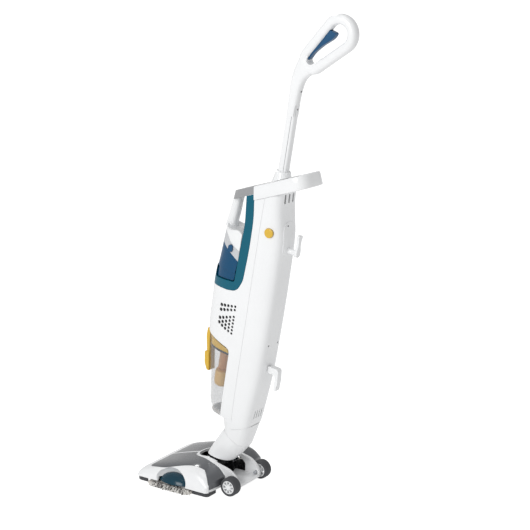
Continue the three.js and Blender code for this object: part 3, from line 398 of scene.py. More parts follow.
# Rows of (height, value) for the front, the back and the half width.
BODY_FRONT = [(150, -31), (168, -42.5), (200, -49), (260, -58), (340, -72), (372, -79), (430, -80.5),
              (500, -81), (560, -75), (620, -70), (660, -65), (730, -56), (780, -52)]
BODY_BACK = [(112, 86), (150, 93), (200, 98), (250, 103), (320, 107), (480, 109), (600, 107), (650, 104),
             (690, 96), (730, 89), (790, 87)]
BODY_HALF = [(112, 38), (140, 44), (190, 48), (680, 48), (730, 46.5), (790, 46)]


def body_ring(z, inset, count=112):
    front, back = along(BODY_FRONT, z) + inset, along(BODY_BACK, z) - inset
    half, middle = along(BODY_HALF, z) - inset, (front + back) / 2
    ring = []
    for k in range(count):
        angle = (k + 0.5) / count * math.tau
        power = 2.4 if math.sin(angle) < 0 else 4.6
        x = half * signed_power(math.cos(angle), 2 / power)
        y = middle + (back - front) / 2 * signed_power(math.sin(angle), 2 / power)
        ring.append(Vector((x, y, z)))
    return ring


def body_envelope(inset, low=112, high=790):
    levels = max(4, round((high - low) / 9))
    return loft([body_ring(low + (high - low) * k / levels, inset) for k in range(levels + 1)])


def top_at(y):
    return TOP_AT_ZERO + TOP_SLOPE * y


OUTER = body_envelope(0)


def centre_side(inset, back=SEAM - GAP):
    return [
        (back, 100), (14 + inset, 100), (14 + inset, 334 + inset, 13), (-110, 363.8 + inset * 1.3),
        (-110, FRAME_BOTTOM - 5 - inset), (-20, FRAME_BOTTOM - inset), (11 + inset, FRAME_BOTTOM + 6, 18),
        (24 + inset, 520, 10), (28.5 + inset, 600, 30), (28 + inset, 680, 30),
        (21 + inset, top_at(21) - GAP - inset), (back, top_at(back) - GAP - inset)]


SWIVEL_TILT = math.radians(24.7)
SWIVEL_CENTRE = (49, 96)


def bent(rows, steps, count=80):
    """Solid along a bend; rows are (y, z, tilt, half width, half depth, power)."""
    return loft([oval(*row, count) for row in between(rows, steps)])


def neck_upper(inset):
    shift = GAP / 2 - inset * 3
    y = SWIVEL_CENTRE[0] + shift * math.sin(SWIVEL_TILT)
    z = SWIVEL_CENTRE[1] + shift * math.cos(SWIVEL_TILT)
    return bent([
        (y, z, SWIVEL_TILT, 37 - inset, 38 - inset, 2.5), (50, 118, 0.26, 39 - inset, 40 - inset, 2.7),
        (50.5, 138, 0.12, 42 - inset, 42 - inset, 3), (50.5, 158, 0, 44.5 - inset, 44 - inset, 3.2)], 22)


def back_housing_end(shift):
    front = SEAM - GAP + shift
    return across([(front, 124 - shift), (130, 157 - shift), (130, 300), (front, 300)], -80, 80)


# Vent holes in each flank: (height at the rear, holes in the row, fall from one hole to the next).
VENT_ROWS = [(448, 5, 2.2), (439, 5, 3.1), (421, 5, 4), (412.5, 5, 4.9), (403.5, 4, 5.3), (394.5, 3, 5.5),
             (385.5, 2, 5.6), (377, 1, 0)]
VENT_PITCH = 10.4
VENT_REAR = 13
VENT_RADIUS = 3.3
VENT_GROWTH = 0.35


def vent_holes():
    """The holes don't touch one another, so they are one tool without a join."""
    points, faces = [], []
    for height, holes, fall in VENT_ROWS:
        for k in range(holes):
            y, z = VENT_REAR - VENT_PITCH * k, height - fall * k
            for side in (-1, 1):
                hole = bar((side * 20, y, z), (side * 60, y, z), VENT_RADIUS + VENT_GROWTH * k, sides=20)
                faces += [[i + len(points) for i in face] for face in hole.faces]
                points += hole.points
    return Solid(points, faces)


def vent_shade_sheet():
    """Black sheet behind the vent holes: painted shade that makes the holes read dark."""
    band = box(-60, 60, -36, 24, 350, 462) - box(-38, 38, -80, 60, 300, 500)
    return (body_envelope(WALL + 0.5) - body_envelope(WALL + 1.3)) & band


def centre_housing():
    hollow = body_envelope(WALL) & through(centre_side(WALL, SEAM + 10))
    suction_port = across([(10, 264), (10, 292, 8), (24, 292), (24, 264)], -15, 15)
    block = (OUTER & through(centre_side(0))) - hollow
    block = block - box(-70, 70, -80, 120, 90, 150) - suction_port
    neck = neck_upper(0) - back_housing_end(0) - box(-70, 70, -60, 120, 150.01, 200)
    shelf = box(-44, 44, -50, 14, 150, 152.5) & OUTER
    whole = block + neck + shelf
    whole = whole - neck_upper(WALL) - box(-30, 30, SEAM - 20, SEAM + 34, 120, 170)
    return whole - vent_holes() - box(-24, 24, 16.6, 40, 140, 170)


BUTTON_Y = 75
BUTTON_Z = 657
BUTTON_RADIUS = 11.5
UPPER_HOOK_Z = 614
LOWER_HOOK_Z = 304


def tube_bore(low, high):
    """Way through for the handle tube."""
    half, deep = TUBE_HALF_WIDTH + GAP, TUBE_HALF_DEPTH + GAP
    return box(-half, half, TUBE_Y - deep, TUBE_Y + deep, low, high)


def rear_housing():
    tray = OUTER & through([
        (SEAM, 124.5 + GAP), (130, 157 + GAP), (130, top_at(130) - GAP), (SEAM, top_at(SEAM) - GAP)])
    front = SEAM - 10
    hollow = body_envelope(WALL) & through([
        (front, 130), (130, 164), (130, top_at(130) - WALL), (front, top_at(front) - WALL)])
    made = tray - hollow
    for x in (-17, 0, 17):
        made = made - across([(80, 729, 2), (130, 729, 2), (130, 751, 2), (80, 751, 2)], x - 3, x + 3)
    for x in (-15, -5, 5, 15):
        made = made - box(x - 1.6, x + 1.6, 80, 130, 164, 186)
    made = made - bar((30, BUTTON_Y, BUTTON_Z), (60, BUTTON_Y, BUTTON_Z), BUTTON_RADIUS + GAP)
    made = made - bar((0, 90, UPPER_HOOK_Z), (0, 120, UPPER_HOOK_Z), 7 + GAP)
    made = made - bar((-30, 74, 186), (-60, 74, 186), 5 + GAP)
    made = made - tube_bore(700, 800) - box(-26, 30, SEAM - 5, SEAM + 32, 110, 170)
    for x in (-20, 20):
        made = made - bar((x, 80, 369), (x, 130, 369), 2.6, sides=20)
    return made


# ---------------------------------------------------------------- top loop, tube and handle

def top_loop():
    height, tilt = 33, math.atan(TOP_SLOPE)

    def at(y):
        return (y - LOOP_START) / math.cos(tilt)

    lay = Matrix.Translation((0, LOOP_START, top_at(LOOP_START))) @ Matrix.Rotation(tilt, 4, "X")
    rings = []
    for h, inset in ((0, 3), (0.9, 0.9), (3, 0), (height - 3, 0), (height - 0.9, 0.9), (height, 3)):
        half, end = 50 - inset, at(156) - inset
        plan = rounded([(-half, 0), (half, 0), (half, end, 34), (-half, end, 34)], 20)
        rings.append([Vector((p.x, p.y, h)) for p in plan])
    slab = loft(rings)
    opening = [(-38, at(92), 6), (38, at(92), 6), (38, at(144), 26), (-38, at(144), 26)]
    hole = raised(opening, -10, height + 10, 16)
    hollow = across([
        (46, top_at(46) - 5), (84, top_at(84) - 5), (84, top_at(84) + 27), (46, top_at(46) + 27)], -43, 43)
    whole = (slab - hole).moved(lay)
    seam = through([(-60, 680), (28, 680), (21.2, top_at(21.2)), (14, 767), (-60, 767)])
    return whole - hollow - tube_bore(700, 800) - seam


def tube_collar():
    low = top_at(TUBE_Y) + 24
    profile = [(0, 0), (24, 0), (23.6, 8), (22.2, 14), (19, 30), (18.3, 33.2), (17, 34), (0, 34)]
    whole = turned(profile, (0, TUBE_Y, low))
    below = through([(0, top_at(0) + 37.4), (120, top_at(120) + 37.4), (120, 600), (0, 600)])
    return whole - tube_bore(700, 900) - below


def tube_section(grow, radius):
    half, deep = TUBE_HALF_WIDTH + grow, TUBE_HALF_DEPTH + grow
    front, rear = TUBE_Y - deep, TUBE_Y + deep
    return [(-half, front, radius), (half, front, radius), (half, rear, radius), (-half, rear, radius)]


def handle_tube():
    outer = raised(tube_section(0, 6), 713, TUBE_TOP, 10)
    return outer - raised(tube_section(-TUBE_WALL, 5), 690, TUBE_TOP + 10)


# The loop's two end arcs as (y, z, radius).
LOOP_LOW = (93.5, 1075.5, 22)
LOOP_HIGH = (152.8, 1147.3, 34)
LOOP_THICKNESS = 24
LOOP_WIDTH = 29


def loop_path(steps):
    """Middle line of the loop: two arcs and the straights between them, as (y, z)."""
    low, high = Vector(LOOP_LOW[:2]), Vector(LOOP_HIGH[:2])
    axis = high - low
    heading = math.atan2(axis.y, axis.x)
    spread = math.acos((LOOP_HIGH[2] - LOOP_LOW[2]) / axis.length)

    def arc(centre, radius, start, end, count):
        return [centre + radius * Vector((math.cos(a), math.sin(a)))
                for a in (start + (end - start) * k / count for k in range(count + 1))]

    rest = math.pi - spread
    top = arc(high, LOOP_HIGH[2], heading - rest, heading + rest, steps)
    foot = arc(low, LOOP_LOW[2], heading + rest, heading + math.pi + spread, steps - 8)
    made = list(top)
    for start, end, then in ((top[-1], foot[0], foot), (foot[-1], top[0], [])):
        made += [start.lerp(end, k / 12) for k in range(1, 12)] + list(then)
    return made


def outwards(path, i):
    ahead = (path[(i + 1) % len(path)] - path[i - 1]).normalized()
    return Vector((ahead.y, -ahead.x))


def loop_ring(thickness, width, sides=40, steps=44):
    path = loop_path(steps)
    points, faces = [], []
    for i, middle in enumerate(path):
        out = outwards(path, i)
        after = (i + 1) % len(path)
        for k in range(sides):
            angle = k / sides * math.tau
            wide = width / 2 * signed_power(math.cos(angle), 0.8)
            thick = thickness / 2 * signed_power(math.sin(angle), 0.8)
            spot = middle + out * thick
            points.append(Vector((wide, spot.x, spot.y)))
            other = (k + 1) % sides
            faces.append((i * sides + k, i * sides + other, after * sides + other, after * sides + k))
    return Solid(points, faces)


def loop_eye(shrink):
    path = loop_path(44)
    middle = (Vector(LOOP_LOW[:2]) + Vector(LOOP_HIGH[:2])) / 2
    ring = []
    for i, point in enumerate(path):
        out = outwards(path, i)
        if out.dot(point - middle) < 0:
            out = -out
        ring.append(point - out * shrink)
    return prism(ring, -40, 40, lambda a, b, h: Vector((h, a, b)))


def stem(inset):
    rows = [(936 - inset * 2, 60.8, 12, 13), (980, 60.5, 13, 13.5), (1012, 62, 15.5, 14),
            (1030, 66.5, 18.5, 14.3), (1042, 73.5, 23.5, 14.3), (1056, 81, 28, 14.2), (1070, 87, 30, 14),
            (1084, 91, 28, 13)]
    rings = [oval(y, z, 0, wide - inset, deep - inset, 3) for z, y, deep, wide in between(rows, 30)]
    return loft(rings)


TRIGGER_PIVOT = (139, 1143)
TRIGGER_TRAVEL = math.radians(4)


def trigger_side(extra):
    return [
        (127 - extra, 1152 + extra, 4), (146 + extra, 1148 + extra, 5), (140 + extra, 1134 - extra, 8),
        (116 + extra, 1114 - extra), (95 + extra, 1092 - extra, 10), (85 + extra, 1073 - extra, 4),
        (78 - extra, 1077, 4), (83 - extra, 1096 + extra, 10), (103 - extra, 1122 + extra)]


def pressed(corners):
    turn = Matrix.Rotation(-TRIGGER_TRAVEL, 2)
    made = []
    for corner in corners:
        spot = turn @ (Vector(corner[:2]) - Vector(TRIGGER_PIVOT)) + Vector(TRIGGER_PIVOT)
        made.append((spot.x, spot.y, *corner[2:]))
    return made


def handle_shells():
    grip = loop_ring(LOOP_THICKNESS, LOOP_WIDTH) + stem(0)
    hollow = loop_ring(LOOP_THICKNESS - 5, LOOP_WIDTH - 5) + (stem(2.4) - loop_eye(LOOP_THICKNESS / 2 - 3))
    grip = grip - loop_eye(LOOP_THICKNESS / 2 - 0.5) - hollow
    grip = grip - raised(tube_section(GAP, 5), 900, TUBE_TOP + GAP)
    grip = grip - across(trigger_side(1.2), -7.6, 7.6) - across(pressed(trigger_side(1.2)), -7.6, 7.6)
    for y, z in ((79.5, 996), (75, 953)):
        grip = grip - bar((0, 60, z), (0, y + 8, z), 2.4, sides=20)
    return grip & box(GAP / 2, 60, 0, 300, 900, 1300), grip & box(-60, -GAP / 2, 0, 300, 900, 1300)


# ---------------------------------------------------------------- water tank and its frame

def tank_frame():
    flank = OUTER & through([
        (-110, FRAME_BOTTOM - 4.6 + GAP), (-20, FRAME_BOTTOM + GAP), (11 - GAP, FRAME_BOTTOM + 6 + GAP, 18),
        (24 - GAP, 520, 10), (28.5 - GAP, 600, 30), (28 - GAP, 680, 30), (21 - GAP, top_at(21)),
        (18.2, top_at(18.2) + CAP_LOW - GAP), (-3, top_at(-3) + CAP_LOW - GAP), (5.5, 662, 24), (1.2, 565),
        (-1, 508, 5), (-68, 500, 5), (-73, 527), (-110, 527)])
    well = body_envelope(3.2, 470, 790) & through(
        [(-68, 500), (-1, 508, 5), (4, 575), (4, 800), (-120, 800), (-120, 527), (-73, 527)])
    spine = box(-44.5, 44.5, 5, 60, FRAME_BOTTOM + 8, 780) - box(-60, 60, 15, 60, 470, 560)
    return flank - well - box(-44.4, 44.4, -100, 60, 560, 800) - spine


def tank_side(inset):
    step = TANK_BOTTOM + 27 + inset
    return [
        (-100, step), (-72.4 + inset, step), (-67.4 + inset, TANK_BOTTOM + inset, 4),
        (-5.6 - inset, TANK_BOTTOM + 7.6 + inset, 5), (-0.2 - inset, 561 - inset * 0.6), (-50, 587 - inset),
        (-100, 610.6 - inset)]


TANK_ENVELOPE = body_envelope(1.5, 470, 700)


def tank():
    full = (TANK_ENVELOPE & layer(528.8, 700)) + body_envelope(3.8, 470, 700)
    made = (full & through(tank_side(0))) - through(
        [(-100, 531), (-77, 529), (-73.5, 531, 2), (-70.5, 568, 2), (-74, 570), (-100, 570)])
    hollow = body_envelope(6, 470, 700) & through(tank_side(2.4)) & box(-60, 60, -67.6, 60, 400, 700)
    return made - hollow - bar((0, -34, 560), (0, -34, 600), 11)


# Upper edge of the collar from the side, as (y, z, radius).
COLLAR_TOP = [(0.2, 587), (-29, 597.5, 12), (-46, 616, 14), (-100, 644)]

TANK_BUTTON = (-27, 587.2)


def tank_button(extra, low, high):
    deep, tall = 6.2 + extra, 8.8 + extra
    y, z = TANK_BUTTON
    return across([(y - deep, z - tall, deep), (y + deep, z - tall, deep), (y + deep, z + tall, deep),
                   (y - deep, z + tall, deep)], low, high, 14)


def tank_collar():
    band = TANK_ENVELOPE & through([(-100, 611), (-50, 587.4), (0.2, 561.4)] + COLLAR_TOP)
    hollow = body_envelope(4, 470, 700) & box(-33, 33, -62, -8, 500, 700) & through(
        [(-8, 500), (-8, 583), (-30, 592, 8), (-48, 610), (-100, 637), (-100, 500)])
    return band - hollow - tank_button(GAP, 36, 60) - tank_button(GAP, -60, -36)


CAP_SIDE = [(-110, 676), (-58, 700, 4), (-30, top_at(-30) + CAP_LOW - 2, 20), (-3, top_at(-3) + CAP_LOW),
            (18, top_at(18) + CAP_LOW), (13.6, 765), (-90, 714)]


def tank_grip():
    rows = [(606, -58, 19, 24), (622, -61, 16, 18), (640, -60.5, 13.5, 14.5), (667, -56.5, 12.6, 13.5),
            (700, -53, 11.5, 13.5), (728, -50, 12, 16)]
    strand = loft([oval(y, z, 0, wide, deep, 2.6) for z, y, deep, wide in between(rows, 30)])
    foot = TANK_ENVELOPE & through(
        [(0.2, 587.4), (0.6, 631, 3), (-14, 638, 8), (-44, 628, 10), (-100, 660), (-100, 500)])
    top = [(y, z + GAP, *r) for y, z, *r in COLLAR_TOP]
    below = through([(40, 400), (40, 587)] + top + [(-100, 400)])
    above = through([(y, z - GAP, *r) for y, z, *r in CAP_SIDE])
    return strand + foot - below - above - layer(722, 800)


def grip_cap():
    lay = Matrix.Translation((0, -75, top_at(-75) + 36.7)) @ Matrix.Rotation(math.atan(TOP_SLOPE), 4, "X")
    above = raised([(-60, 0), (60, 0), (60, 110), (-60, 110)], 0, 60).moved(lay)
    return (OUTER & through(CAP_SIDE)) - above


# ---------------------------------------------------------------- dust cup

def cup_side(inset):
    rear = 14 - GAP * 2 - inset
    return [(rear, CUP_BOTTOM + inset, 4), (rear, 332 - inset, 13), (-110, 361.6 - inset * 1.3),
            (-110, CUP_BOTTOM + inset)]


def dust_cup():
    made = body_envelope(1.2, 140, 380) & through(cup_side(0))
    made = made - (body_envelope(3.6, 140, 380) & through(cup_side(2.4)))
    return made - across([(8, 262), (8, 290, 10), (30, 290), (30, 262)], -16, 16)


CUP_INSIDE = body_envelope(4, 140, 380) & through(cup_side(2.8))
CORE_Y = -17


def pleated(low, high, radius, pleats):
    ring = []
    for k in range(pleats * 2):
        angle = k / (pleats * 2) * math.tau
        r = radius if k % 2 else radius - 3
        ring.append(Vector((r * math.cos(angle), CORE_Y + r * math.sin(angle))))
    return prism(ring, low, high, lambda a, b, h: Vector((a, b, h)))


def filter_foot():
    rows = [(218, 28, 17), (226, 35, 22), (250, 36, 23), (258.6, 34, 21.6)]
    return loft([oval(-15, z, 0, wide, deep, 2.2) for z, wide, deep in between(rows, 16)])


def cup_latch():
    strip = across([
        (-73.8, 351), (-82, 352, 3), (-83, 330, 6), (-75.5, 290), (-69, 255, 3), (-61.5, 252), (-63, 262),
        (-71.4, 318)], -11, 11)
    press = across([
        (-68, 290, 2), (-80.5, 288, 3), (-76, 256, 5), (-67, 240, 3), (-60.5, 240), (-64, 262)], -13, 13)
    return strip + press


def hook_paddle(low, high, y):
    right = [(8.5, low, 8.4), (8.5, low + 18, 5), (5.4, low + 25, 8), (5.4, high - 14, 6),
             (7.8, high - 8, 3), (7.8, high, 5)]
    ring = rounded([(-x, *rest) for x, *rest in reversed(right)] + right, 12)
    return prism(ring, y, y + 7, lambda a, b, h: Vector((a, h, b)))


def upper_hook():
    post = bar((0, 100, UPPER_HOOK_Z), (0, 131, UPPER_HOOK_Z), 7)
    return post + hook_paddle(UPPER_HOOK_Z - 9, UPPER_HOOK_Z + 46, 130)


def lower_hook():
    z = LOWER_HOOK_Z
    return across([(107.6, z - 9, 3), (107.6, z + 8, 3), (138, z + 8, 7), (141, z - 20), (140, z - 50, 4),
                   (133, z - 50, 4), (132, z - 16, 8), (124, z - 8, 4)], -8.5, 8.5)


def side_button():
    r = BUTTON_RADIUS
    dome = [(0, 40.5), (6, 40.5), (6, 44.2), (r, 44.2), (r, 49.2), (r - 1.6, 50), (r - 3, 50.2), (0, 50.2)]
    lay = Matrix.Translation((0, BUTTON_Y, BUTTON_Z)) @ Matrix.Rotation(math.pi / 2, 4, "Y")
    return turned(dome, sides=48).moved(lay)


def screw_head(spot, direction, radius):
    """Countersunk cross-head screw seen from outside, its face square to direction."""
    profile = [(0, -1.6), (radius * 0.5, -1.6), (radius, -0.2), (radius * 0.94, 0.1), (0, 0.25)]
    made = turned(profile, sides=24)
    reach, half = radius * 0.62, 0.35
    cross = box(-reach, reach, -half, half, -0.5, 1) + box(-half, half, -reach, reach, -0.5, 1)
    turn = Vector(direction).to_track_quat("Z", "Y").to_matrix().to_4x4()
    return (made - cross).moved(Matrix.Translation(spot) @ turn)


def trim_pieces():
    """Screws, marks and lines, and a black sheet of painted shade behind the vent holes, all too small for
    nodes of their own.
    """
    screws = [("stem_screw_low", (0, 72.4, 953), (0, 1, 0), 2.2, "body"),
              ("stem_screw_high", (0, 75.2, 996), (0, 1, 0.1), 2.2, "body"),
              ("frame_screw_left", (47.2, 12, 545), (1, 0, 0), 2.0, "body"),
              ("frame_screw_right", (-47.2, 12, 545), (-1, 0, 0), 2.0, "body"),
              ("hook_screw", (0, 136.7, UPPER_HOOK_Z), (0, 1, 0), 3.2, "cord_hook")]
    for name, spot, direction, radius, body in screws:
        piece(name, screw_head(spot, direction, radius), DARK_GREY, body, UPRIGHT, [])
    # Black sheet of painted shade behind the vent holes.
    piece("vent_shade_sheet", vent_shade_sheet(), BLACK, "body", UPRIGHT, [])
    pad = prism(rounded([(-24, 600, 22), (24, 600, 22), (24, 684, 22), (-24, 684, 22)], 16), 90, 120,
                lambda a, b, h: Vector((a, h, b)))
    oval_pad = (body_envelope(-1.3) & pad) - body_envelope(0.4)
    piece("hook_pad", oval_pad, WHITE, "body", UPRIGHT, [])
    mark = screw_head((14, 105.6, 678), (0, 1, -0.1), 2)
    piece("rear_mark", mark, DARK_GREY, "body", UPRIGHT, [])
    for side, word in ((1, "left"), (-1, "right")):
        line = box(side * 10.3 - 0.35, side * 10.3 + 0.35, TUBE_Y + 4.4, TUBE_Y + 5.6, 752, TUBE_TOP - 2)
        piece(f"tube_line_{word}", line, MID_GREY, "body", UPRIGHT, [])


def cup_lid():
    return CUP_INSIDE & layer(321.6, 400)


def cup_gasket():
    return CUP_INSIDE & layer(316, 321.2)


def neck_lower():
    outer = bent([(12, 27, -0.05, 33, 38, 2.5), (22, 46, 0.1, 34.5, 38, 2.5), (34, 68, 0.25, 36, 38, 2.5),
                  (48.9, 95.8, SWIVEL_TILT, 37, 38, 2.5)], 26)
    inner = bent([(8, 15, -0.05, 29, 33, 2.5), (22, 46, 0.1, 31, 34.5, 2.5), (34, 68, 0.25, 33, 35, 2.5),
                  (52.8, 104.2, SWIVEL_TILT, 34, 35, 2.5)], 26)
    return outer - inner


def body_pieces():
    for name, solid, material, body, slot in (
            ("centre_housing", centre_housing(), WHITE, "body", "white_plastic"),
            ("rear_housing", rear_housing(), WHITE, "body", "white_plastic"),
            ("top_loop", top_loop(), WHITE, "body", "white_plastic"),
            ("tube_collar", tube_collar(), WHITE, "body", "white_plastic"),
            ("handle_tube", handle_tube(), WHITE, "body", "white_plastic"),
            ("lower_hook", lower_hook(), WHITE, "body", "white_plastic"),
            ("tank_frame", tank_frame(), TEAL, "body", "teal_plastic"),
            ("upper_hook", upper_hook(), WHITE, "cord_hook", "white_plastic"),
            ("side_button", side_button(), YELLOW, "side_key", "yellow_plastic"),
            ("tank", tank(), TANK_BLUE, "tank_unit", "blue_tinted_plastic"),
            ("tank_collar", tank_collar(), PALE_GREY, "tank_unit", "pale_grey_plastic"),
            ("tank_grip", tank_grip(), WHITE, "tank_unit", "white_plastic"),
            ("grip_cap", grip_cap(), MID_GREY, "tank_unit", "mid_grey_plastic"),
            ("dust_cup", dust_cup(), CUP_CLEAR, "cup_unit", "clear_plastic"),
            # The lid's yellow is painted brighter, as painted light for the inside of the clear cup.
            ("cup_lid", cup_lid(), LID_YELLOW_PAINTED_BRIGHT, "cup_unit", "yellow_plastic"),
            ("cup_gasket", cup_gasket(), DARK_GREY, "cup_unit", "dark_grey_plastic"),
            ("cup_filter", pleated(259, 315.6, 21, 40), FILTER, "cup_unit", "filter_paper"),
            ("filter_foot", filter_foot(), AMBER, "cup_unit", "yellow_plastic"),
            ("tank_button_left", tank_button(0, 39.5, 47.6), BLUE, "tank_latch_left", "blue_plastic"),
            ("tank_button_right", tank_button(0, -47.6, -39.5), BLUE, "tank_latch_right", "blue_plastic"),
            ("cup_latch", cup_latch(), YELLOW, "cup_catch", "yellow_plastic")):
        piece(name + "_skin", solid, material, body, UPRIGHT, [name])
    left, right = handle_shells()
    piece("handle_left_skin", left, WHITE, "body", UPRIGHT, ["handle_left"])
    piece("handle_right_skin", right, WHITE, "body", UPRIGHT, ["handle_right"])
    trigger = across(trigger_side(0), -7, 7)
    piece("trigger_skin", trigger, BLUE, "steam_trigger", UPRIGHT, ["trigger"])
    piece("neck_lower_skin", neck_lower(), WHITE, "neck", UPRIGHT, ["neck_lower"])


# ---------------------------------------------------------------- floor head, in the machine's frame

# Height of the cover's crown along the head, as (y, z).
HEAD_TOP = [(-266, 17), (-260, 26), (-248, 33), (-194, 50), (-146, 63), (-104, 71), (-76, 70), (-46, 58),
            (-28, 40)]


def head_section(x, inset, steps=48):
    half = HEAD_HALF_WIDTH - inset
    far = min(1, abs(x) / half)
    drop = (1 - math.sqrt(max(0, 1 - far**9))) * 0.8
    pull = (1 - math.sqrt(max(0, 1 - far**6))) * 14
    front, rear, low = HEAD_FRONT + inset + pull, HEAD_REAR - inset - pull, COVER_BASE
    ring = [Vector((x, front, low))]
    for k in range(steps + 1):
        share = k / steps
        y = front + (rear - front) * (share - math.sin(share * math.tau) / 14)
        top = max(along(HEAD_TOP, y - pull * (1 - 2 * share)) - inset, low + 3 - inset / 4)
        ring.append(Vector((x, y, low + (top - low) * (1 - drop))))
    ring.append(Vector((x, rear, low)))
    return ring


def head_block(inset):
    half = HEAD_HALF_WIDTH - inset
    shares = [math.sin(k / 60 * math.pi / 2) for k in range(-60, 61)]
    return loft([head_section(share * half, inset) for share in shares])


def neck_opening():
    return raised([
        (-36, -60, 4), (-37, -112, 20), (-20, -137, 18), (20, -137, 18), (37, -112, 20), (36, -60, 4)],
        0, 120)


def smoke_plan(extra):
    right = [
        (101 + extra, -233 - extra, 16), (112 + extra, -176, 20), (100 + extra, -96, 8), (96 + extra, -60),
        (116 + extra, -36), (116 + extra, -10), (54.5 - extra, -10), (54.5 - extra, -74, 12),
        (43 - extra, -114, 24), (22, -146 + extra, 22)]
    return right + [(-c[0], *c[1:]) for c in reversed(right)]


def trim_plan(extra):
    rear = -146.6 + extra * 2
    return [(-2.4 - extra, -246), (2.4 + extra, -246), (3.4 + extra, rear), (-3.4 - extra, rear)]


def scoop(side, grow=0.0):
    return ball((side * 139, SCOOP_MIDDLE, 26), (44 + grow, 49 + grow, 37 + grow))


def pedal_space(side):
    return box(side * 114 - 26, side * 114 + 26, SCOOP_MIDDLE - 44, SCOOP_MIDDLE + 44, 0, 24)


def wheel_house(side):
    return bar((side * 54, 0, WHEEL_RADIUS), (side * 130, 0, WHEEL_RADIUS), WHEEL_RADIUS + 4)


HEAD_OUTER = head_block(0)


def white_cover():
    recess = raised(smoke_plan(GAP), 0, 200) - head_block(SHELL_THICKNESS + GAP)
    made = HEAD_OUTER - recess
    for side in (-1, 1):
        made = made - scoop(side) - pedal_space(side)
    fin = [(-76, 16), (-76, 69, 10), (-60, 67), (-16, 57, 14), (4, 40, 10), (9, 22, 4), (8, 14)]
    for side in (-1, 1):
        made = made + across(fin, side * 46 - 6, side * 46 + 6)
    made = made + across([(-63, 14), (-63, 19), (9, 19, 3), (13, 14, 2)], -43, 43)
    cavity = head_block(SHELL_THICKNESS + GAP + WALL) - scoop(-1, WALL) - scoop(1, WALL)
    made = made - (cavity - box(-46, 46, -63, -28, 13, 19))
    hollow = [(-90, 10), (-90, 62, 8), (-56, 60), (-20, 50, 8), (0, 34), (0, 10)]
    for side in (-1, 1):
        made = made - across(hollow, side * 48 - 1.4, side * 48 + 1.4)
    trough = across([(-64, 19), (60, 19), (60, 140), (-64, 140)], -44, 44)
    made = made - neck_opening() - trough
    for side in (-1, 1):
        axle_hole = bar((side * 36, 0, WHEEL_RADIUS), (side * 60, 0, WHEEL_RADIUS), 4.4)
        made = made - wheel_house(side) - axle_hole
    return made


def smoke_shell():
    made = (HEAD_OUTER - head_block(SHELL_THICKNESS)) & raised(smoke_plan(0), COVER_BASE + 8, 200)
    made = made - (raised(trim_plan(GAP), 0, 200) - head_block(1 + GAP))
    for side in (-1, 1):
        made = made - scoop(side) - wheel_house(side)
    return made


def centre_trim():
    made = (HEAD_OUTER - head_block(1)) & raised(trim_plan(0), COVER_BASE + 8, 200)
    return made - box(-140, 140, -300, -232.6, 0, 200)


def neck_surround():
    made = raised([
        (-39, -88, 4), (-39, -114, 22), (-21, -141.5, 20), (21, -141.5, 20), (39, -114, 22), (39, -88, 4)],
        54, 73, 14)
    made = made - raised([
        (-35, -60), (-36, -112, 20), (-19.5, -136.5, 18), (19.5, -136.5, 18), (36, -112, 20), (35, -60)],
        0, 120, 14)
    above = through([(-180, 66), (-141, 66.4), (-86, 74), (-86, 120), (-180, 120)])
    return made - above - HEAD_OUTER


def pedal(side):
    dome = ball((side * 98, SCOOP_MIDDLE, 6), (31, 55, 32))
    reach = box(side * 114.5 - 17.5, side * 114.5 + 17.5, -220, -60, COVER_BASE + 1, 80)
    slot = box(side * 114 - 25.4, side * 114 + 25.4, SCOOP_MIDDLE - 43.4, SCOOP_MIDDLE + 43.4, 0, 23.6)
    return dome & reach & (scoop(side, -0.6) + slot)


def skirt(left, right, front, rear):
    """The part of the rubber skirt that lies inside a rectangle."""
    outer = raised([
        (-122, -261, 20), (122, -261, 20), (123, -150), (121, -35, 10), (-121, -35, 10), (-123, -150)],
        3, COVER_BASE - GAP)
    inner = raised([
        (-118.6, -257.6, 18), (118.6, -257.6, 18), (119.6, -150), (118.4, -38.6, 9), (-118.4, -38.6, 9),
        (-119.6, -150)], 0, 40)
    return (outer - inner) & box(left, right, front, rear, 0, 40)


def tyre():
    half, r = WHEEL_WIDTH / 2, WHEEL_RADIUS
    inner_side = [(RIM_RADIUS + GAP, -half), (r - 4, -half), (r - 2, -half + 0.6), (r - 0.6, -half + 2),
                  (r, -half + 5)]
    profile = inner_side + [(radius, -z) for radius, z in reversed(inner_side)]
    return turned(profile, sides=96)


def hub(side):
    face = WHEEL_WIDTH / 2 - 1.5
    profile = [(4.4, -12), (8, -12), (8, face - 3.5), (RIM_RADIUS - 2, face - 3.5), (RIM_RADIUS - 2, -12),
               (RIM_RADIUS, -12), (RIM_RADIUS, face - 0.6), (RIM_RADIUS - 0.6, face), (4.4, face)]
    made = turned(profile, sides=96)
    far = RIM_RADIUS - 3
    wedge = raised([(7.4, -1.5, 1), (far, -3.8, 1.5), (far, 3.8, 1.5), (7.4, 1.5, 1)], face - 8, face + 2)
    for k in range(8):
        made = made - wedge.moved(Matrix.Rotation(k / 8 * math.tau, 4, "Z"))
    cap = [(0, face - 3), (7, face - 3), (7, face + 0.3), (6.4, face + 0.8), (0, face + 0.8)]
    made = made + turned(cap, sides=48)
    return made if side > 0 else made.moved(Matrix.Rotation(math.pi, 4, "X"))


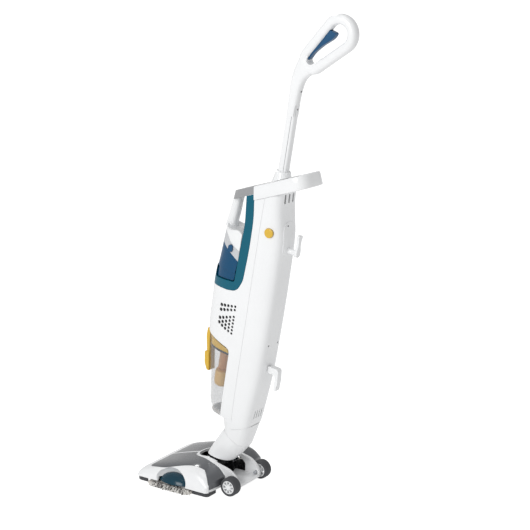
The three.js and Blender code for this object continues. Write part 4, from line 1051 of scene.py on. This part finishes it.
def head_pieces():
    for name, solid, material, body, slot in (
            ("white_cover", white_cover(), WHITE, "head", "white_plastic"),
            ("smoke_shell", smoke_shell(), SMOKE, "head", "smoke_tinted_plastic"),
            ("centre_trim", centre_trim(), WHITE, "head", "white_plastic"),
            ("neck_surround", neck_surround(), WHITE, "head", "white_plastic"),
            ("skirt_front", skirt(-140, 140, -280, -224), DARK_GREY, "head", "dark_grey_plastic"),
            ("skirt_left", skirt(84, 140, -82, 0), DARK_GREY, "head", "dark_grey_plastic"),
            ("skirt_right", skirt(-140, -84, -82, 0), DARK_GREY, "head", "dark_grey_plastic"),
            ("pedal_left", pedal(1), PEDAL_TEAL, "pedal_left_lever", "teal_plastic"),
            ("pedal_right", pedal(-1), PEDAL_TEAL, "pedal_right_lever", "teal_plastic")):
        piece(name + "_skin", solid, material, body, MACHINE, [name])
    for side, word in ((1, "left"), (-1, "right")):
        spot = MACHINE @ Matrix.Translation((side * WHEEL_X, 0, WHEEL_RADIUS))
        spot = spot @ Matrix.Rotation(math.pi / 2, 4, "Y")
        piece(f"tyre_{word}_skin", tyre(), RUBBER, f"wheel_{word}", spot, [f"tyre_{word}"])
        piece(f"hub_{word}_skin", hub(side), WHITE, f"wheel_{word}", spot, [f"hub_{word}"])


# ---------------------------------------------------------------- camera, light and floor

VIEW_TURN = math.radians(33.74)
VIEW_PITCH = math.radians(13.62)
VIEW_LENS = 91.37
CAMERA_PLACE = Vector((2.6429, 1.9749, 1.3596))


def camera():
    data = bpy.data.cameras.new("camera")
    data.sensor_width = 36
    data.lens = VIEW_LENS
    made = bpy.data.objects.new("camera", data)
    made.location = CAMERA_PLACE
    level = math.cos(VIEW_PITCH)
    ahead = Vector((-math.cos(VIEW_TURN) * level, -math.sin(VIEW_TURN) * level, -math.sin(VIEW_PITCH)))
    made.rotation_mode = "QUATERNION"
    made.rotation_quaternion = ahead.to_track_quat("-Z", "Y")
    SCENE.collection.objects.link(made)
    SCENE.camera = made


def area_light(name, spot, target, size, power):
    data = bpy.data.lights.new(name, "AREA")
    data.size = size
    data.energy = power
    made = bpy.data.objects.new(name, data)
    made.location = spot
    made.rotation_mode = "QUATERNION"
    made.rotation_quaternion = (Vector(target) - Vector(spot)).to_track_quat("-Z", "Y")
    SCENE.collection.objects.link(made)


def studio():
    world = bpy.data.worlds.new("studio")
    world.use_nodes = True
    sky = world.node_tree.nodes["Background"]
    sky.inputs["Color"].default_value = (1, 1, 1, 1)
    sky.inputs["Strength"].default_value = 0.5
    SCENE.world = world
    area_light("key", (3.4, -0.2, 1.9), (0, 0.1, 0.6), 1.6, 50)
    area_light("top", (0.6, 0.4, 3.4), (0, 0.1, 0.2), 1.4, 10)
    area_light("glint", (-1.7, -1.5, 2.7), (0, -0.02, 0.05), 0.5, 18)
    SCENE.view_settings.view_transform = "Standard"


def pale_floor():
    """Wide matt floor that also glows, a little brighter where it is seen than where it lights."""
    mesh = bpy.data.meshes.new("floor")
    mesh.from_pydata([(-200, -200, 0), (200, -200, 0), (200, 200, 0), (-200, 200, 0)], [], [(0, 1, 2, 3)])
    floor = bpy.data.objects.new("floor", mesh)
    paint = bpy.data.materials.new("floor")
    paint.use_nodes = True
    surface = paint.node_tree.nodes["Principled BSDF"]
    surface.inputs["Base Color"].default_value = (0.35, 0.35, 0.35, 1)
    surface.inputs["Roughness"].default_value = 0.9
    surface.inputs["Emission Color"].default_value = (1, 1, 1, 1)
    nodes, wire = links(paint)
    seen = nodes.new("ShaderNodeLightPath")
    glow = nodes.new("ShaderNodeMapRange")
    glow.inputs["To Min"].default_value = 0.55
    glow.inputs["To Max"].default_value = 0.95
    wire.new(seen.outputs["Is Camera Ray"], glow.inputs["Value"])
    wire.new(glow.outputs["Result"], surface.inputs["Emission Strength"])
    mesh.materials.append(paint)
    SCENE.collection.objects.link(floor)


# ---------------------------------------------------------------- soft pad

STRANDS_PER_SIDE = 420
CHENILLE = [plastic("chenille_white", 0xDCDAD6, 0.95, grain=0.8, mottle=0.12),
            plastic("chenille_grey", 0x8F8D8B, 0.95, grain=0.8, mottle=0.12),
            plastic("chenille_dark", 0x57524F, 0.95, grain=0.8, mottle=0.12)]


def mop_pad():
    """Crowned microfibre pad with a slot for the suction mouth."""
    rings = []
    for z, inset in ((0, 5), (0.6, 2.2), (2, 0.6), (4, 0), (6, 0.6), (7.4, 2.2), (8, 5)):
        half, front, rear = 130 - inset, -222 + inset, -84 - inset
        corners = [(-half, front, 12), (half, front, 12), (half, rear, 12), (-half, rear, 12)]
        rings.append([Vector((p.x, p.y, z)) for p in rounded(corners, 12)])
    return loft(rings) - raised([(-78, -214, 4), (78, -214, 4), (78, -196, 4), (-78, -196, 4)], -5, 20)


def noodle(chance, start, outward):
    """Short limp strand of chenille from a point on the pad's edge."""
    length, radius = chance.uniform(9, 15), chance.uniform(1.1, 1.7)
    swing = chance.uniform(-0.9, 0.9)
    heading = Vector((outward * math.cos(swing), math.sin(swing), 0))
    side = Vector((-heading.y, heading.x, 0))
    curl = chance.uniform(-0.6, 0.6)
    rings = []
    for k in range(8):
        share = k / 7
        bend = side * curl * length * share * share
        droop = (start.z - radius) * share * share
        spot = start + heading * length * share + bend - Vector((0, 0, droop))
        swell = radius * math.sqrt(max(0.06, 1 - (2 * share - 1) ** 6)) * chance.uniform(0.88, 1.12)
        rings.append([spot + side * swell * math.cos(a) + Vector((0, 0, swell * math.sin(a)))
                      for a in (i / 8 * math.tau for i in range(8))])
    return loft(rings)


def mop_fringe():
    """Chenille strands along both sides of the pad, as one mesh with a material for each yarn."""
    chance = Random(7)
    points, faces, yarns = [], [], []
    for outward in (-1, 1):
        for _ in range(STRANDS_PER_SIDE):
            x, y, z = chance.uniform(116, 127), chance.uniform(-202, -92), chance.uniform(2.4, 10)
            start = Vector((outward * x, y, z))
            strand = noodle(chance, start, outward)
            faces += [[i + len(points) for i in face] for face in strand.faces]
            yarns += [chance.choice((0, 0, 0, 1, 1, 2, 2))] * len(strand.faces)
            points += strand.points
    mesh = bpy.data.meshes.new("mop_fringe")
    mesh.from_pydata(points, [], faces)
    mesh.transform(MACHINE)
    for material in CHENILLE:
        mesh.materials.append(material)
    mesh.polygons.foreach_set("material_index", yarns)
    mesh.polygons.foreach_set("use_smooth", [True] * len(faces))
    made = bpy.data.objects.new("mop_fringe", mesh)
    SCENE.collection.objects.link(made)
    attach(made, "head")


def soft_pieces():
    pad = piece("mop_pad_skin", mop_pad(), CLOTH, "head", MACHINE, ["mop_pad"])
    mop_fringe()


def carried_over():
    """CAD nodes that stay get a material and smooth shading."""
    looks = {
        "base_plate": BLACK, "pad_plate": PALE_GREY, "suction_channel": DARK_GREY, "axle_left": STEEL,
        "axle_right": STEEL, "pivot_pin_left": STEEL, "pivot_pin_right": STEEL, "pivot_barrel": BLACK,
        "rear_screw_left": DARK_GREY, "rear_screw_right": DARK_GREY, "cord_gland": DARK_GREY,
        "air_duct": DARK_GREY, "motor_mount": RUBBER, "motor_can": STEEL, "rotor": STEEL,
        "exhaust_filter": PALE_GREY, "boiler": STEEL, "pump": DARK_GREY, "control_board": BOARD,
        "water_hose": HOSE, "steam_hose": HOSE}
    for name, material in looks.items():
        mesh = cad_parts[name].data
        mesh.materials.clear()
        mesh.materials.append(material)
        mesh.polygons.foreach_set("use_smooth", [True] * len(mesh.polygons))
        mesh.set_sharp_from_angle(angle=CAD_SHARP_EDGE)


camera()
studio()
pale_floor()
carried_over()
body_pieces()
trim_pieces()
head_pieces()
soft_pieces()
